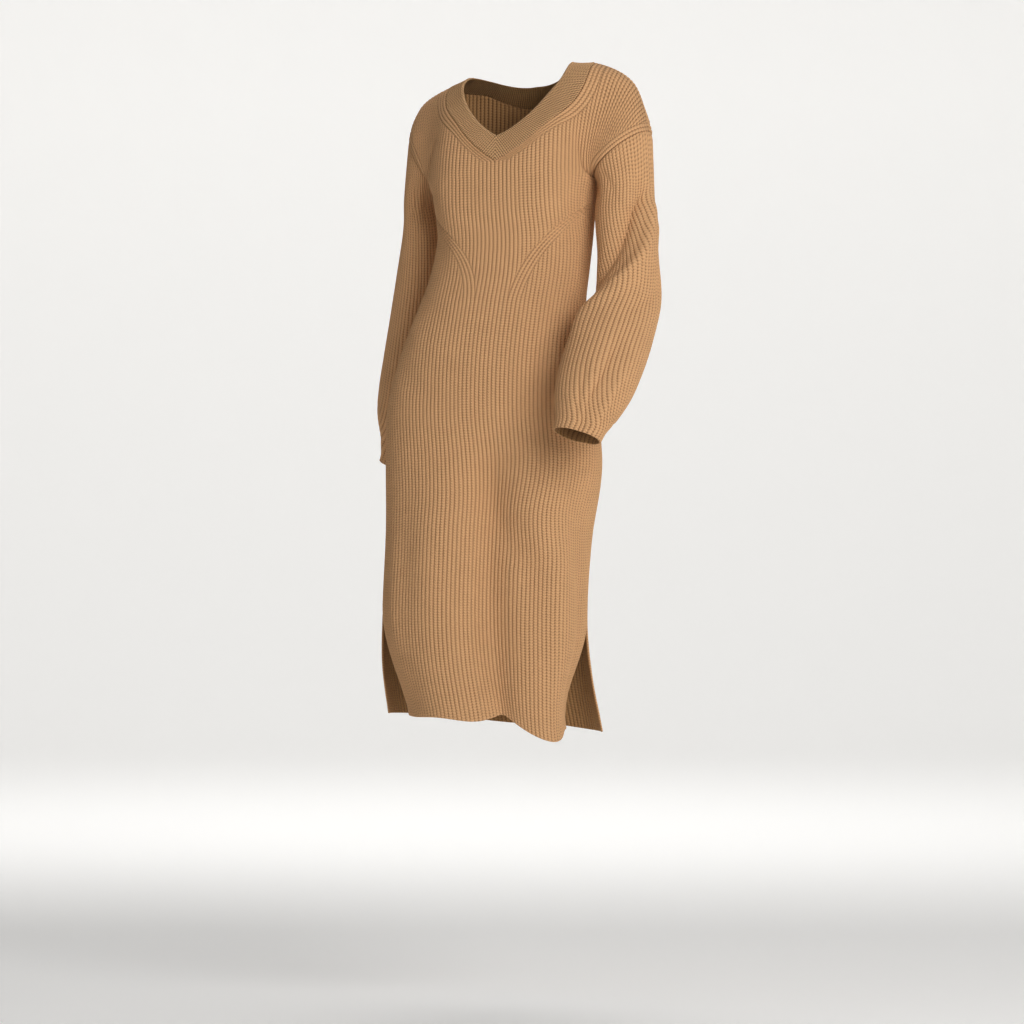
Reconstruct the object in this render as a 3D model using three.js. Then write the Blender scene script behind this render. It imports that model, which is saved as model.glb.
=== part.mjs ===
// A ribbed V-neck sweater dress, standing hollow as it is worn: fitted bodice, long skirt with a slit at
// each side, dropped shoulders and full sleeves that narrow to the wrist. Millimetres, +Z up. The front
// faces -Y and the wearer's left is +X. The origin is the neck base, midway between the shoulder seams.
// Every piece is one knitted wall: a plain inside, and an outside with each rib raised.
import * as THREE from "three";

// Knit
const WALL = 2.2; // from the plain inside to the valleys between ribs
const RIB_PITCH = 7.1;
const RIB_RAISE = 1.7;
const BAND_PITCH = 4.2; // the finer ribs of the neckband
const BAND_RAISE = 0.9;
const SEAM_GAP = 0.36; // between two pieces at a seam
const THICKNESS = WALL + RIB_RAISE;

// Levels: the skirt and bodice are a tube up to the armholes, and the yoke closes over the shoulders.
// A height below 0 is millimetres under the armhole level, and one from 0 to 1 a share of the yoke's rise.
const HEM_Z = -1100;
const ARMHOLE_Z = -178;
const SLIT_LENGTH = 190;

// The tube's sections, outside: the middle, the half width at the side seams, the depth in front and
// behind, how far it turns towards the wearer's left and tips down on that side (degrees), and how square
// it is: 2 is an ellipse, and more is squarer
const BODY = [
  { z: -1100, x: -50, half: 184, front: 130, back: 122, turn: 18, tip: 5, square: 2.15 },
  { z: -1010, x: -65, half: 180, front: 125, back: 122, turn: 18, tip: 4.5, square: 2.15 },
  { z: -915, x: -69, half: 175, front: 119, back: 121, turn: 17, tip: 4, square: 2.15 },
  { z: -780, x: -62, half: 176, front: 114, back: 121, turn: 15, tip: 3.5, square: 2.15 },
  { z: -660, x: -53, half: 185, front: 109, back: 124, turn: 13, tip: 3, square: 2.15 },
  { z: -570, x: -55, half: 181, front: 107, back: 122, turn: 11, tip: 2, square: 2.15 },
  { z: -480, x: -50, half: 164, front: 101, back: 108, turn: 9, tip: 1, square: 2.15 },
  { z: -392, x: -37, half: 144, front: 95, back: 90, turn: 7, tip: 0, square: 2.15 },
  { z: -335, x: -23, half: 137, front: 99, back: 85, turn: 5, tip: -1, square: 2.15 },
  { z: -280, x: -14, half: 135, front: 107, back: 88, turn: 3, tip: -1.5, square: 2.15 },
  { z: -228, x: -12, half: 138, front: 113, back: 94, turn: 1, tip: -2, square: 2.3 },
  { z: -178, x: -12, half: 147, front: 110, back: 98, turn: 0, tip: -2, square: 2.6 },
];
const BUST = { z: -222, share: 0.4, high: 62, wide: 0.2, out: 9 };

// The ridge over each shoulder, from over the neck base out to the end of the shoulder seam. The wearer's
// left shoulder is the higher, and the right arm swings back.
const SHOULDER = {
  left: [
    { x: 0, y: 0, z: 22 },
    { x: 64, y: 0, z: 21 },
    { x: 100, y: 0, z: 20 },
    { x: 129, y: 0, z: 16 },
    { x: 155, y: 0, z: 8 },
    { x: 179, y: 1, z: -4 },
    { x: 196, y: 2, z: -19 },
    { x: 206, y: 2, z: -37 },
    { x: 213, y: 2, z: -58 },
    { x: 219, y: 1, z: -80 },
    { x: 223, y: 0, z: -100 },
  ],
  right: [
    { x: 0, y: 0, z: 22 },
    { x: 60, y: 0, z: 10 },
    { x: 95, y: 0, z: -3 },
    { x: 129, y: 2, z: -17 },
    { x: 152, y: 6, z: -26 },
    { x: 173, y: 12, z: -36 },
    { x: 190, y: 19, z: -48 },
    { x: 200, y: 24, z: -63 },
    { x: 206, y: 28, z: -80 },
    { x: 210, y: 31, z: -98 },
  ],
};
const NECK_HOLLOW = { front: { y: -45, z: -39 }, back: { y: 70, z: -34 } }; // at the middle, off the ridge

// Neckline: where the V and the back neck start, as shares of the yoke's rise, and how far out along the
// shoulder they end, for the seam of the neckband and for its free edge
const NECK_SEAM = { front: 0.106, back: 0.58, half: { left: 129, right: 121 } };
const NECK_FREE = { front: 0.287, back: 1, half: { left: 91, right: 86 } };
const NECK_CURVE = { left: 2.2, right: 1.5 }; // 1 is a straight V
const BAND_MITRE = 28; // along the seam, from the point of the V to the end of the mitre

// How far the armhole bows out from the line between its lowest point and the end of the shoulder seam
const ARMHOLE_DEPTH = {
  left: { front: 62, back: 66 },
  right: { front: 46, back: 84 },
};
const BOW_FADE = 2.5; // higher keeps that bow closer to the armhole
const YOKE_FULLNESS = { front: 1, back: 1.6 }; // 1 is a quarter ellipse, more stays out further up

// Ribs in half a panel, counted out from its centre line
const NECK_RIBS = { front: 3, back: 0 }; // run beside the neckband
const EDGE_RIBS = 2; // run beside the side seam and the armhole
const DART_RIBS = 3; // run along the bust dart
const DART = { lowZ: -392, highZ: -222, lowRib: 4, highRib: 27 };
const MOST_RIBS = 48;

// How far each edge of the front panel lies inside the back panel's at the hem
const TUCK = { left: 62, right: 36 };

// Soft folds of the skirt: where across the panel (share of a half, wearer's left positive) and how high
// each starts and ends, its half width in shares, how far it stands out, and how far it lowers the hem
const SKIRT_FOLDS = [
  { panel: "front", from: 0.02, fromZ: -560, to: 0.1, toZ: -1100, wide: 0.15, out: -24, drop: -20 },
  { panel: "front", from: 0.3, fromZ: -600, to: 0.5, toZ: -1100, wide: 0.22, out: 20, drop: 20 },
  { panel: "front", from: -0.3, fromZ: -640, to: -0.36, toZ: -1100, wide: 0.24, out: 12, drop: -6 },
  { panel: "front", from: -0.06, fromZ: -640, to: 0.3, toZ: -840, wide: 0.09, out: -8, drop: 0 },
  { panel: "back", from: -0.28, fromZ: -640, to: -0.34, toZ: -1100, wide: 0.16, out: -14, drop: -4 },
  { panel: "back", from: 0.02, fromZ: -700, to: 0.06, toZ: -1100, wide: 0.2, out: 16, drop: 4 },
  { panel: "back", from: 0.42, fromZ: -680, to: 0.4, toZ: -1100, wide: 0.16, out: -12, drop: -3 },
];
const FOLD_RISE = 190; // height over which a fold comes out of the plain cloth
const FOLD_END = 80; // height over which it fades below its end

// The sleeves below the armhole, outside: the middle of each section, its half width from side to side
// and front to back, and the ribs round it
const SLEEVES = {
  left: [
    { x: 185.5, y: -4, z: -190, wide: 46.5, deep: 60, ribs: 50 },
    { x: 184, y: -6, z: -238, wide: 49, deep: 57, ribs: 50 },
    { x: 193, y: -12, z: -315, wide: 52, deep: 57, ribs: 50 },
    { x: 196, y: -26, z: -378, wide: 58, deep: 58, ribs: 50 },
    { x: 184, y: -54, z: -434, wide: 68, deep: 60, ribs: 50 },
    { x: 177, y: -84, z: -480, wide: 71, deep: 58, ribs: 50 },
    { x: 170, y: -114, z: -527, wide: 69, deep: 56, ribs: 48 },
    { x: 163, y: -138, z: -566, wide: 59, deep: 49, ribs: 40 },
    { x: 157, y: -154, z: -598, wide: 46, deep: 36, ribs: 30 },
    { x: 153, y: -161, z: -615, wide: 43, deep: 33, ribs: 30 },
  ],
  right: [
    { x: -197, y: 47, z: -196, wide: 30, deep: 64, ribs: 50 },
    { x: -196, y: 52, z: -245, wide: 35, deep: 61, ribs: 50 },
    { x: -207, y: 70, z: -325, wide: 45, deep: 57, ribs: 50 },
    { x: -225, y: 98, z: -405, wide: 52, deep: 60, ribs: 50 },
    { x: -239, y: 122, z: -475, wide: 60, deep: 63, ribs: 50 },
    { x: -251, y: 138, z: -533, wide: 64, deep: 63, ribs: 50 },
    { x: -263, y: 149, z: -578, wide: 60, deep: 58, ribs: 46 },
    { x: -275, y: 157, z: -615, wide: 47, deep: 44, ribs: 36 },
    { x: -286, y: 163, z: -646, wide: 38, deep: 35, ribs: 30 },
    { x: -291, y: 165, z: -660, wide: 37, deep: 34, ribs: 30 },
  ],
};
const SLEEVE_LINE = 215; // degrees round from the underarm, by way of the front, to the narrowing line
const SLEEVE_LINE_RIBS = 2; // run beside that line on each side
const MOST_SLEEVE_RIBS = 50;
const UNDERARM_TURN = 90; // degrees that the sleeve turns out of the body's side at the underarm

// Soft folds of the sleeves: degrees round from the underarm by way of the front, and share of the way
// down, at each end of the fold, its half width in degrees, how far it stands out and how long it fades
const SLEEVE_FOLDS = {
  left: [
    { from: 176, fromDown: 0.24, to: 50, toDown: 0.5, wide: 22, out: 9, fade: 0.1 },
    { from: 140, fromDown: 0.18, to: 20, toDown: 0.42, wide: 22, out: -8, fade: 0.1 },
    { from: 130, fromDown: 0.6, to: 112, toDown: 0.92, wide: 18, out: -5, fade: 0.1 },
    { from: 250, fromDown: 0.5, to: 265, toDown: 0.9, wide: 20, out: -6, fade: 0.12 },
  ],
  right: [
    { from: 70, fromDown: 0.4, to: 100, toDown: 0.88, wide: 18, out: -5, fade: 0.12 },
    { from: 190, fromDown: 0.45, to: 180, toDown: 0.9, wide: 20, out: -5, fade: 0.12 },
    { from: 275, fromDown: 0.4, to: 250, toDown: 0.9, wide: 20, out: -6, fade: 0.12 },
  ],
};

// How finely the solids are cut
const TUBE_LEVELS = [-1100, -1000, -880, -740, -610, -490, -392, -335, -285, -248, -224, -178];
const YOKE_RISES = {
  front: [NECK_SEAM.front, 0.18, 0.3, 0.47, 0.7, 0.87, 1],
  back: [0.106, 0.3, 0.47, NECK_SEAM.back, 0.61, 0.7, 0.87, 1],
};
const SLEEVE_STEPS = [0, 0.1, 0.22, 0.36, 0.49, 0.6, 0.7, 0.8, 0.9, 1];
const BACK_BAND_SPANS = 5; // along half the back of the neckband's free edge
const INSIDE_BAND_STEP = 14; // along the plain inside of the neckband
const INSIDE_SPANS = 10; // across the plain inside of half a panel
const SLEEVE_INSIDE_SPANS = 20;
const ROW_SAMPLES = 72; // along half a row, to measure it
const STEP = 1.5; // along a row, to find the cloth's direction

const SIDES = ["right", "left"];
const radians = THREE.MathUtils.degToRad;
const clamp = THREE.MathUtils.clamp;
const smooth = (t) => THREE.MathUtils.smoothstep(t, 0, 1);
const bell = (t) => Math.exp(-t * t);
const vector = (x, y, z) => new THREE.Vector3(x, y, z);
const sign = (side) => (side === "left" ? 1 : -1);
const facing = (panel) => (panel === "front" ? -1 : 1);
const shares = (spans) => Array.from({ length: spans + 1 }, (_, i) => i / spans);

// Value of one column of a table at a place along another, on one smooth curve through the rows
function column(table, along, place, name) {
  const last = table.length - 1;
  const rising = table[last][along] > table[0][along];
  let i = 0;
  while (i < last - 1 && (rising ? table[i + 1][along] < place : table[i + 1][along] > place)) i += 1;
  const slope = (a, b) => (table[b][name] - table[a][name]) / (table[b][along] - table[a][along]);
  const inner = slope(i, i + 1);
  const before = i > 0 ? slope(i - 1, i + 1) : inner;
  const after = i + 2 <= last ? slope(i, i + 2) : inner;
  const span = table[i + 1][along] - table[i][along];
  const t = clamp((place - table[i][along]) / span, 0, 1);
  return (
    (2 * t ** 3 - 3 * t ** 2 + 1) * table[i][name] +
    (t ** 3 - 2 * t ** 2 + t) * span * before +
    (3 * t ** 2 - 2 * t ** 3) * table[i + 1][name] +
    (t ** 3 - t ** 2) * span * after
  );
}

// A polyline with its running length, and the point at a length along it
function measured(points) {
  const run = [0];
  for (let i = 1; i < points.length; i += 1) run.push(run[i - 1] + points[i].distanceTo(points[i - 1]));
  return { points, run, length: run.at(-1) };
}
function placeIn(line, length) {
  let i = 1;
  while (i < line.run.length - 1 && line.run[i] < length) i += 1;
  return { i, t: clamp((length - line.run[i - 1]) / (line.run[i] - line.run[i - 1]), 0, 1) };
}
function pointAt(line, length) {
  const { i, t } = placeIn(line, length);
  return line.points[i - 1].clone().lerp(line.points[i], t);
}

// A point of the tube, from a panel's middle (0) round to the side seam (1)
function tubePoint(panel, side, share, z) {
  const at = (name) => column(BODY, "z", z, name);
  const power = 2 / at("square");
  const angle = share * Math.PI * 0.5;
  const tuck = panel === "front" ? TUCK[side] * slitOpen(z) : 0;
  const across = sign(side) * (at("half") - THICKNESS - tuck) * Math.sin(angle) ** power;
  const out = facing(panel) * (at(panel) - THICKNESS) * Math.max(Math.cos(angle), 0) ** power;
  const turn = radians(at("turn"));
  const lowered = across * Math.tan(radians(at("tip"))) + hemDrop(panel, side, share, z);
  return vector(
    at("x") + across * Math.cos(turn) - out * Math.sin(turn),
    across * Math.sin(turn) + out * Math.cos(turn),
    z - lowered,
  );
}
function slitOpen(z) {
  return smooth((HEM_Z + SLIT_LENGTH - z) / SLIT_LENGTH);
}

// How much of a skirt fold is felt at a place on its panel
function foldShare(fold, panel, side, share, z) {
  if (fold.panel !== panel) return 0;
  const down = clamp((fold.fromZ - z) / (fold.fromZ - fold.toZ), 0, 1);
  const middle = fold.from + (fold.to - fold.from) * down;
  const rise = smooth((fold.fromZ - z) / FOLD_RISE) * (z < fold.toZ ? bell((fold.toZ - z) / FOLD_END) : 1);
  return rise * bell((sign(side) * share - middle) / fold.wide);
}
function hemDrop(panel, side, share, z) {
  return slitOpen(z) * SKIRT_FOLDS.reduce((sum, f) => sum + f.drop * foldShare(f, panel, side, share, z), 0);
}
function fullness(panel, side, share, z) {
  const folds = SKIRT_FOLDS.reduce((sum, f) => sum + f.out * foldShare(f, panel, side, share, z), 0);
  const bust = panel === "front" ? bell((share - BUST.share) / BUST.wide) * bell((z - BUST.z) / BUST.high) : 0;
  return folds + BUST.out * bust;
}

// For each panel and side, the ridge line that the panel ends on, from the middle of the neck to the end
// of the shoulder seam, and its row at the armhole level
const RIDGE = {};
const ARMHOLE_ROW = {};
for (const panel of ["front", "back"])
  for (const side of SIDES) {
    const table = SHOULDER[side];
    const hollow = NECK_HOLLOW[panel];
    const ridge = shares(ROW_SAMPLES).map((share) => {
      const x = table.at(-1).x * share;
      const near = Math.max(0, 1 - (x / NECK_FREE.half[side]) ** 2);
      const y = column(table, "x", x, "y") + hollow.y * near + facing(panel) * SEAM_GAP * 0.5;
      return vector(sign(side) * x, y, column(table, "x", x, "z") + hollow.z * near);
    });
    RIDGE[panel + side] = measured(ridge);
    const row = shares(ROW_SAMPLES).map((share) => tubePoint(panel, side, share, ARMHOLE_Z));
    ARMHOLE_ROW[panel + side] = measured(row);
  }

// The armhole as an oval in space, round from the underarm (0 degrees) by way of the front
const underarm = (side) => ARMHOLE_ROW[`front${side}`].points.at(-1).clone();
const seamEnd = (side) => RIDGE[`front${side}`].points.at(-1).clone().add(vector(0, SEAM_GAP * 0.5, 0));
function armhole(side, degrees) {
  const angle = radians(degrees);
  const depth = Math.sin(angle) > 0 ? ARMHOLE_DEPTH[side].front : ARMHOLE_DEPTH[side].back;
  const point = underarm(side).lerp(seamEnd(side), (1 - Math.cos(angle)) / 2);
  point.y -= depth * Math.sin(angle);
  return point;
}

// Which way the cloth faces at the armhole: out at the underarm, forward or back beside the arm, and out
// and up at the shoulder
function armholeFacing(side, degrees) {
  const angle = radians(degrees);
  const high = (1 - Math.cos(angle)) / 2;
  return vector(sign(side) * (0.45 + 0.55 * Math.cos(angle) ** 2), -Math.sin(angle), 0.3 * high).normalize();
}

// A point of the yoke. Over the chest each line up it is a quarter ellipse, and beside the armhole it is
// half of the armhole's oval, whose bow fades out of the cloth quickly.
function yokePoint(panel, side, share, rise) {
  const low = pointAt(ARMHOLE_ROW[panel + side], share * ARMHOLE_ROW[panel + side].length);
  const high = pointAt(RIDGE[panel + side], share * RIDGE[panel + side].length);
  const quarter = rise * Math.PI * 0.5;
  const over = vector(
    low.x + (high.x - low.x) * (1 - Math.cos(quarter)),
    low.y + (high.y - low.y) * (1 - Math.cos(quarter)) ** YOKE_FULLNESS[panel],
    low.z + (high.z - low.z) * Math.sin(quarter),
  );
  const round = low.clone().lerp(high, (1 - Math.cos(rise * Math.PI)) / 2);
  const near = smooth((share - 0.45) / 0.55);
  const point = over.lerp(round, near);
  point.y += facing(panel) * ARMHOLE_DEPTH[side][panel] * Math.sin(rise * Math.PI) * near ** BOW_FADE;
  return point;
}

function panelPoint(panel, side, share, height) {
  const rise = Math.max(height, 0);
  const z = ARMHOLE_Z + Math.min(height, 0);
  const point = height > 0 ? yokePoint(panel, side, share, rise) : tubePoint(panel, side, share, z);
  const middle = column(BODY, "z", z, "x");
  const away = vector((point.x - middle) * (1 - rise), point.y + facing(panel), 0).normalize();
  const felt = fullness(panel, side, share, z + rise * 2 * BUST.high) * (1 - smooth((share - 0.8) / 0.2));
  return point.addScaledVector(away, felt);
}

// One row of a panel at a height, measured from the wearer's right to the left, with its middle
const knownRows = new Map();
function panelRow(panel, height) {
  const key = `${panel} ${height}`;
  if (!knownRows.has(key)) {
    const half = (side) => shares(ROW_SAMPLES).map((share) => panelPoint(panel, side, share, height));
    const line = measured([...half("right").reverse(), ...half("left").slice(1)]);
    line.middle = line.run[ROW_SAMPLES];
    knownRows.set(key, line);
  }
  return knownRows.get(key);
}
const halfLength = (row, side) => (side === "left" ? row.length - row.middle : row.middle);
const rowPoint = (row, side, out) => pointAt(row, row.middle + sign(side) * out);

// The plain inside of the cloth and the way it faces, so far out from a panel's centre line
function cloth(panel, side, height, out) {
  const row = panelRow(panel, height);
  const below = panelRow(panel, height - (height > 0 ? 0.01 : 2));
  const share = out / halfLength(row, side);
  const point = rowPoint(row, side, out);
  const across = pointAt(row, row.middle + sign(side) * out + STEP);
  across.sub(pointAt(row, row.middle + sign(side) * out - STEP));
  const up = point.clone().sub(rowPoint(below, side, share * halfLength(below, side)));
  const normal = across.cross(up).normalize();
  if (panel === "back") normal.negate();
  if (height > 0) {
    const edge = armholeFacing(side, -facing(panel) * 180 * height);
    normal.lerp(edge, smooth((share - 0.84) / 0.16)).normalize();
  }
  return { point, normal };
}

// Neckline: how far out from a panel's centre line it lies at a height, for the seam or the free edge
function neckOut(panel, side, height, edge) {
  const high = (rise) => Math.sin(rise * Math.PI * 0.5);
  const start = high(edge[panel]);
  const up = start < 1 ? clamp((high(Math.max(height, 0)) - start) / (1 - start), 0, 1) : 0;
  const across = panel === "front" ? 1 - (1 - up) ** NECK_CURVE[side] : Math.sqrt(up);
  return ridgeOut(panel, side, edge) * across;
}
function ridgeOut(panel, side, edge) {
  const { points, run } = RIDGE[panel + side];
  const place = (edge.half[side] / Math.abs(points.at(-1).x)) * ROW_SAMPLES;
  const i = Math.floor(place);
  return run[i] + (run[i + 1] - run[i]) * (place - i);
}

// The first of the dart's ribs at a level, counted from the centre line: an arc off the side seam
function dartRib(z) {
  const up = clamp((z - DART.lowZ) / (DART.highZ - DART.lowZ), 0, 1);
  const past = z > DART.highZ ? MOST_RIBS : 0;
  return past + DART.lowRib + (DART.highRib - DART.lowRib) * (1 - Math.sqrt(1 - up ** 2));
}

// Where half a panel's ribs stand at a height, in ribs from the centre line. Entries alternate between
// the valley before a rib and its crest. A rib that has ended against another line has no width there.
function ribPlaces(panel, height, total, neck) {
  const beside = NECK_RIBS[panel];
  const edge = Math.max(total - EDGE_RIBS, neck + beside);
  const past = Math.min(neck + beside, edge);
  const dart = panel === "front" ? dartRib(ARMHOLE_Z + Math.min(height, 0)) : MOST_RIBS;
  const places = [];
  const add = (first, count, low, high) => {
    for (let half = 0; half < count * 2; half += 1) places.push(clamp(first + half / 2, low, high));
  };
  add(neck, beside, neck, past);
  add(beside, MOST_RIBS - beside, past, clamp(dart, past, edge));
  if (panel === "front") {
    add(dart, DART_RIBS, past, edge);
    add(DART.lowRib + DART_RIBS, MOST_RIBS, clamp(dart + DART_RIBS, past, edge), edge);
  }
  for (const share of shares(EDGE_RIBS * 2)) places.push(edge + (total - edge) * share);
  return places;
}

// How far an entry stands out: a crest by the width its rib has there, a valley not at all
function raised(places, i, raise) {
  return i % 2 === 0 ? 0 : raise * clamp(places[i + 1] - places[i - 1], 0, 1);
}

const moved = ({ point, normal }, out) => point.clone().addScaledVector(normal, out);

// A mesh gathered from triangles of points, where points that coincide become one
class Gathering {
  index = new Map();
  positions = [];
  faces = [];

  id(p) {
    const key = p.toArray().map((v) => Math.round(v * 2000)).join(",");
    if (!this.index.has(key)) {
      this.index.set(key, this.positions.length / 3);
      this.positions.push(p.x, p.y, p.z);
    }
    return this.index.get(key);
  }

  triangle(a, b, c, flip) {
    const ids = (flip ? [a, c, b] : [a, b, c]).map((p) => this.id(p));
    if (new Set(ids).size === 3) this.faces.push(ids);
  }

  // The cloth between rows of points that have the same count
  sheet(rows, flip) {
    for (let i = 0; i + 1 < rows.length; i += 1)
      for (let j = 0; j + 1 < rows[i].length; j += 1) {
        const [a, b, c, d] = [rows[i][j], rows[i][j + 1], rows[i + 1][j + 1], rows[i + 1][j]];
        const even = a.distanceToSquared(c) <= b.distanceToSquared(d);
        this.triangle(a, b, even ? c : d, flip);
        this.triangle(even ? a : b, c, d, flip);
      }
  }

  // The edge between an outer and an inner line that run side by side, however many points each has
  rim(outer, inner, flip) {
    const a = measured(outer);
    const b = measured(inner);
    let i = 0;
    let j = 0;
    while (i + 1 < outer.length || j + 1 < inner.length) {
      const nextA = i + 1 < outer.length ? a.run[i + 1] / a.length : 2;
      const nextB = j + 1 < inner.length ? b.run[j + 1] / b.length : 2;
      if (nextA <= nextB) {
        this.triangle(outer[i + 1], outer[i], inner[j], flip);
        i += 1;
      } else {
        this.triangle(inner[j], inner[j + 1], outer[i], flip);
        j += 1;
      }
    }
  }

  mesh(name, colour) {
    const geometry = new THREE.BufferGeometry();
    geometry.setAttribute("position", new THREE.Float32BufferAttribute(this.positions, 3));
    geometry.setIndex(this.faces.flat());
    geometry.computeVertexNormals();
    const material = new THREE.MeshStandardMaterial({ color: colour, roughness: 0.95, metalness: 0 });
    const mesh = new THREE.Mesh(geometry, material);
    mesh.name = name;
    return mesh;
  }
}

// Half a panel's points at a height, from the centre line or neckline out to the side or armhole
function halfCells(panel, side, height, ribbed) {
  const length = halfLength(panelRow(panel, height), side) - (height > 0 ? 0 : SEAM_GAP * 0.5);
  const total = length / RIB_PITCH;
  const neck = neckOut(panel, side, height, NECK_SEAM) / RIB_PITCH;
  const plain = shares(INSIDE_SPANS).map((share) => neck + (total - neck) * share);
  const places = ribbed ? ribPlaces(panel, height, total, neck) : plain;
  return places.map((place, i) => {
    const out = ribbed ? WALL + raised(places, i, RIB_RAISE) : 0;
    return moved(cloth(panel, side, height, place * RIB_PITCH), out);
  });
}

function panelMesh(panel, colour) {
  const gathering = new Gathering();
  const heights = [...TUBE_LEVELS.map((z) => z - ARMHOLE_Z), ...YOKE_RISES[panel]];
  const open = heights.indexOf(NECK_SEAM[panel]);
  for (const side of SIDES) {
    const flip = (side === "right") !== (panel === "back");
    const outer = heights.map((height) => halfCells(panel, side, height, true));
    const inner = heights.map((height) => halfCells(panel, side, height, false));
    const edge = (rows, i) => rows.map((row) => row.at(i));
    gathering.sheet(outer, flip);
    gathering.sheet(inner, !flip);
    gathering.rim(outer[0], inner[0], flip);
    gathering.rim(outer.at(-1), inner.at(-1), !flip);
    gathering.rim(edge(outer, -1), edge(inner, -1), flip);
    gathering.rim(edge(outer, 0).slice(open), edge(inner, 0).slice(open), !flip);
  }
  return gathering.mesh(panel, colour);
}

// The sleeve's first ring. It lies along the armhole, a seam's gap away, on the same straight stretches
// as the panels' edges, and at the underarm it turns out of the body's side.
function sleeveStart(side, degrees) {
  const turned = ((degrees % 360) + 360) % 360;
  const front = turned <= 180;
  const rise = (front ? turned : 360 - turned) / 180;
  const rises = [0, ...YOKE_RISES[front ? "front" : "back"]];
  let i = 0;
  while (i + 2 < rises.length && rises[i + 1] < rise) i += 1;
  const share = (rise - rises[i]) / (rises[i + 1] - rises[i]);
  const [low, high] = [rises[i], rises[i + 1]].map((r) => (front ? r : -r) * 180);
  const point = armhole(side, low).lerp(armhole(side, high), share);
  const out = armholeFacing(side, low).lerp(armholeFacing(side, high), share);
  const along = armhole(side, turned + 1).sub(armhole(side, turned - 1));
  const away = along.cross(out).multiplyScalar(sign(side)).normalize();
  const under = (1 + Math.cos(radians(turned))) / 2;
  const turn = radians(UNDERARM_TURN) * under ** 2;
  const normal = out.clone().multiplyScalar(Math.cos(turn)).addScaledVector(away, -Math.sin(turn)).normalize();
  point.addScaledVector(away, SEAM_GAP + WALL * Math.sin(turn));
  point.addScaledVector(out, (WALL + RIB_RAISE + SEAM_GAP) * under ** 3);
  return { point, normal };
}

// Each line down a sleeve is one smooth curve through the armhole's ring and the sleeve's sections
const knownLines = new Map();
function sleeveLine(side, degrees) {
  const key = `${side} ${degrees.toFixed(4)}`;
  if (!knownLines.has(key)) {
    const first = underarm(side).lerp(seamEnd(side), 0.5);
    const middles = [first, ...SLEEVES[side].map((s) => vector(s.x, s.y, s.z))];
    const angle = radians(degrees);
    const points = SLEEVES[side].map((section, i) => {
      const along = (middles[i + 2] ?? middles[i + 1]).clone().sub(middles[i]).normalize();
      const wide = vector(sign(side), 0, 0).projectOnPlane(along).normalize();
      const deep = vector(0, -1, 0).projectOnPlane(along).projectOnPlane(wide).normalize();
      const point = middles[i + 1].clone().addScaledVector(wide, -(section.wide - THICKNESS) * Math.cos(angle));
      return point.addScaledVector(deep, (section.deep - THICKNESS) * Math.sin(angle));
    });
    knownLines.set(key, new THREE.CatmullRomCurve3([sleeveStart(side, degrees).point, ...points]));
  }
  return knownLines.get(key);
}
function sleeveMiddle(side, down) {
  return sleeveLine(side, 0).getPoint(down).lerp(sleeveLine(side, 180).getPoint(down), 0.5);
}

function sleevePoint(side, degrees, down) {
  const point = sleeveLine(side, degrees).getPoint(down);
  const out = point.clone().sub(sleeveMiddle(side, down)).normalize();
  for (const fold of SLEEVE_FOLDS[side]) {
    const along = clamp((down - fold.fromDown) / (fold.toDown - fold.fromDown), 0, 1);
    const middle = fold.from + (fold.to - fold.from) * along;
    const apart = ((((degrees - middle) % 360) + 540) % 360) - 180;
    const beyond = Math.max(fold.fromDown - down, down - fold.toDown, 0) / fold.fade;
    point.addScaledVector(out, fold.out * bell(apart / fold.wide) * bell(beyond) * smooth(down * 10));
  }
  return point;
}

function sleeveCell(side, degrees, down) {
  if (down === 0) return sleeveStart(side, degrees);
  const point = sleevePoint(side, degrees, down);
  const round = sleevePoint(side, degrees + 1, down).sub(sleevePoint(side, degrees - 1, down));
  const length = sleevePoint(side, degrees, Math.min(down + 0.01, 1));
  length.sub(sleevePoint(side, degrees, down - 0.01));
  const normal = round.cross(length).normalize();
  if (normal.dot(point.clone().sub(sleeveMiddle(side, down))) < 0) normal.negate();
  return { point, normal };
}

// Places of a sleeve's ribs round it, in ribs from the narrowing line. Those beside the line follow it,
// and the rest keep to the far side of the sleeve and end against them.
function sleevePlaces(total) {
  const places = [];
  for (let half = 0; half < SLEEVE_LINE_RIBS * 2; half += 1) places.push(half / 2);
  const reach = MOST_SLEEVE_RIBS - SLEEVE_LINE_RIBS * 2;
  for (let half = -reach; half < reach; half += 1)
    places.push(clamp(total / 2 + half / 2, SLEEVE_LINE_RIBS, total - SLEEVE_LINE_RIBS));
  for (let half = SLEEVE_LINE_RIBS * 2; half >= 0; half -= 1) places.push(total - half / 2);
  return places;
}

function sleeveMesh(side, colour) {
  const gathering = new Gathering();
  const sections = [SLEEVES[side][0], ...SLEEVES[side]].map((s, i) => ({ place: i, ribs: s.ribs }));
  const outer = [];
  const inner = [];
  for (const down of SLEEVE_STEPS) {
    const total = column(sections, "place", down * (sections.length - 1), "ribs");
    const places = sleevePlaces(total);
    const cell = (share) => sleeveCell(side, SLEEVE_LINE + 360 * (share % 1), down);
    const raise = down === 0 ? 0 : RIB_RAISE;
    outer.push(places.map((place, i) => moved(cell(place / total), WALL + raised(places, i, raise))));
    inner.push(shares(SLEEVE_INSIDE_SPANS).map((share) => cell(share).point));
  }
  const flip = side === "left";
  gathering.sheet(outer, flip);
  gathering.sheet(inner, !flip);
  gathering.rim(outer[0], inner[0], flip);
  gathering.rim(outer.at(-1), inner.at(-1), !flip);
  return gathering.mesh(`sleeve_${side}`, colour);
}

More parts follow.
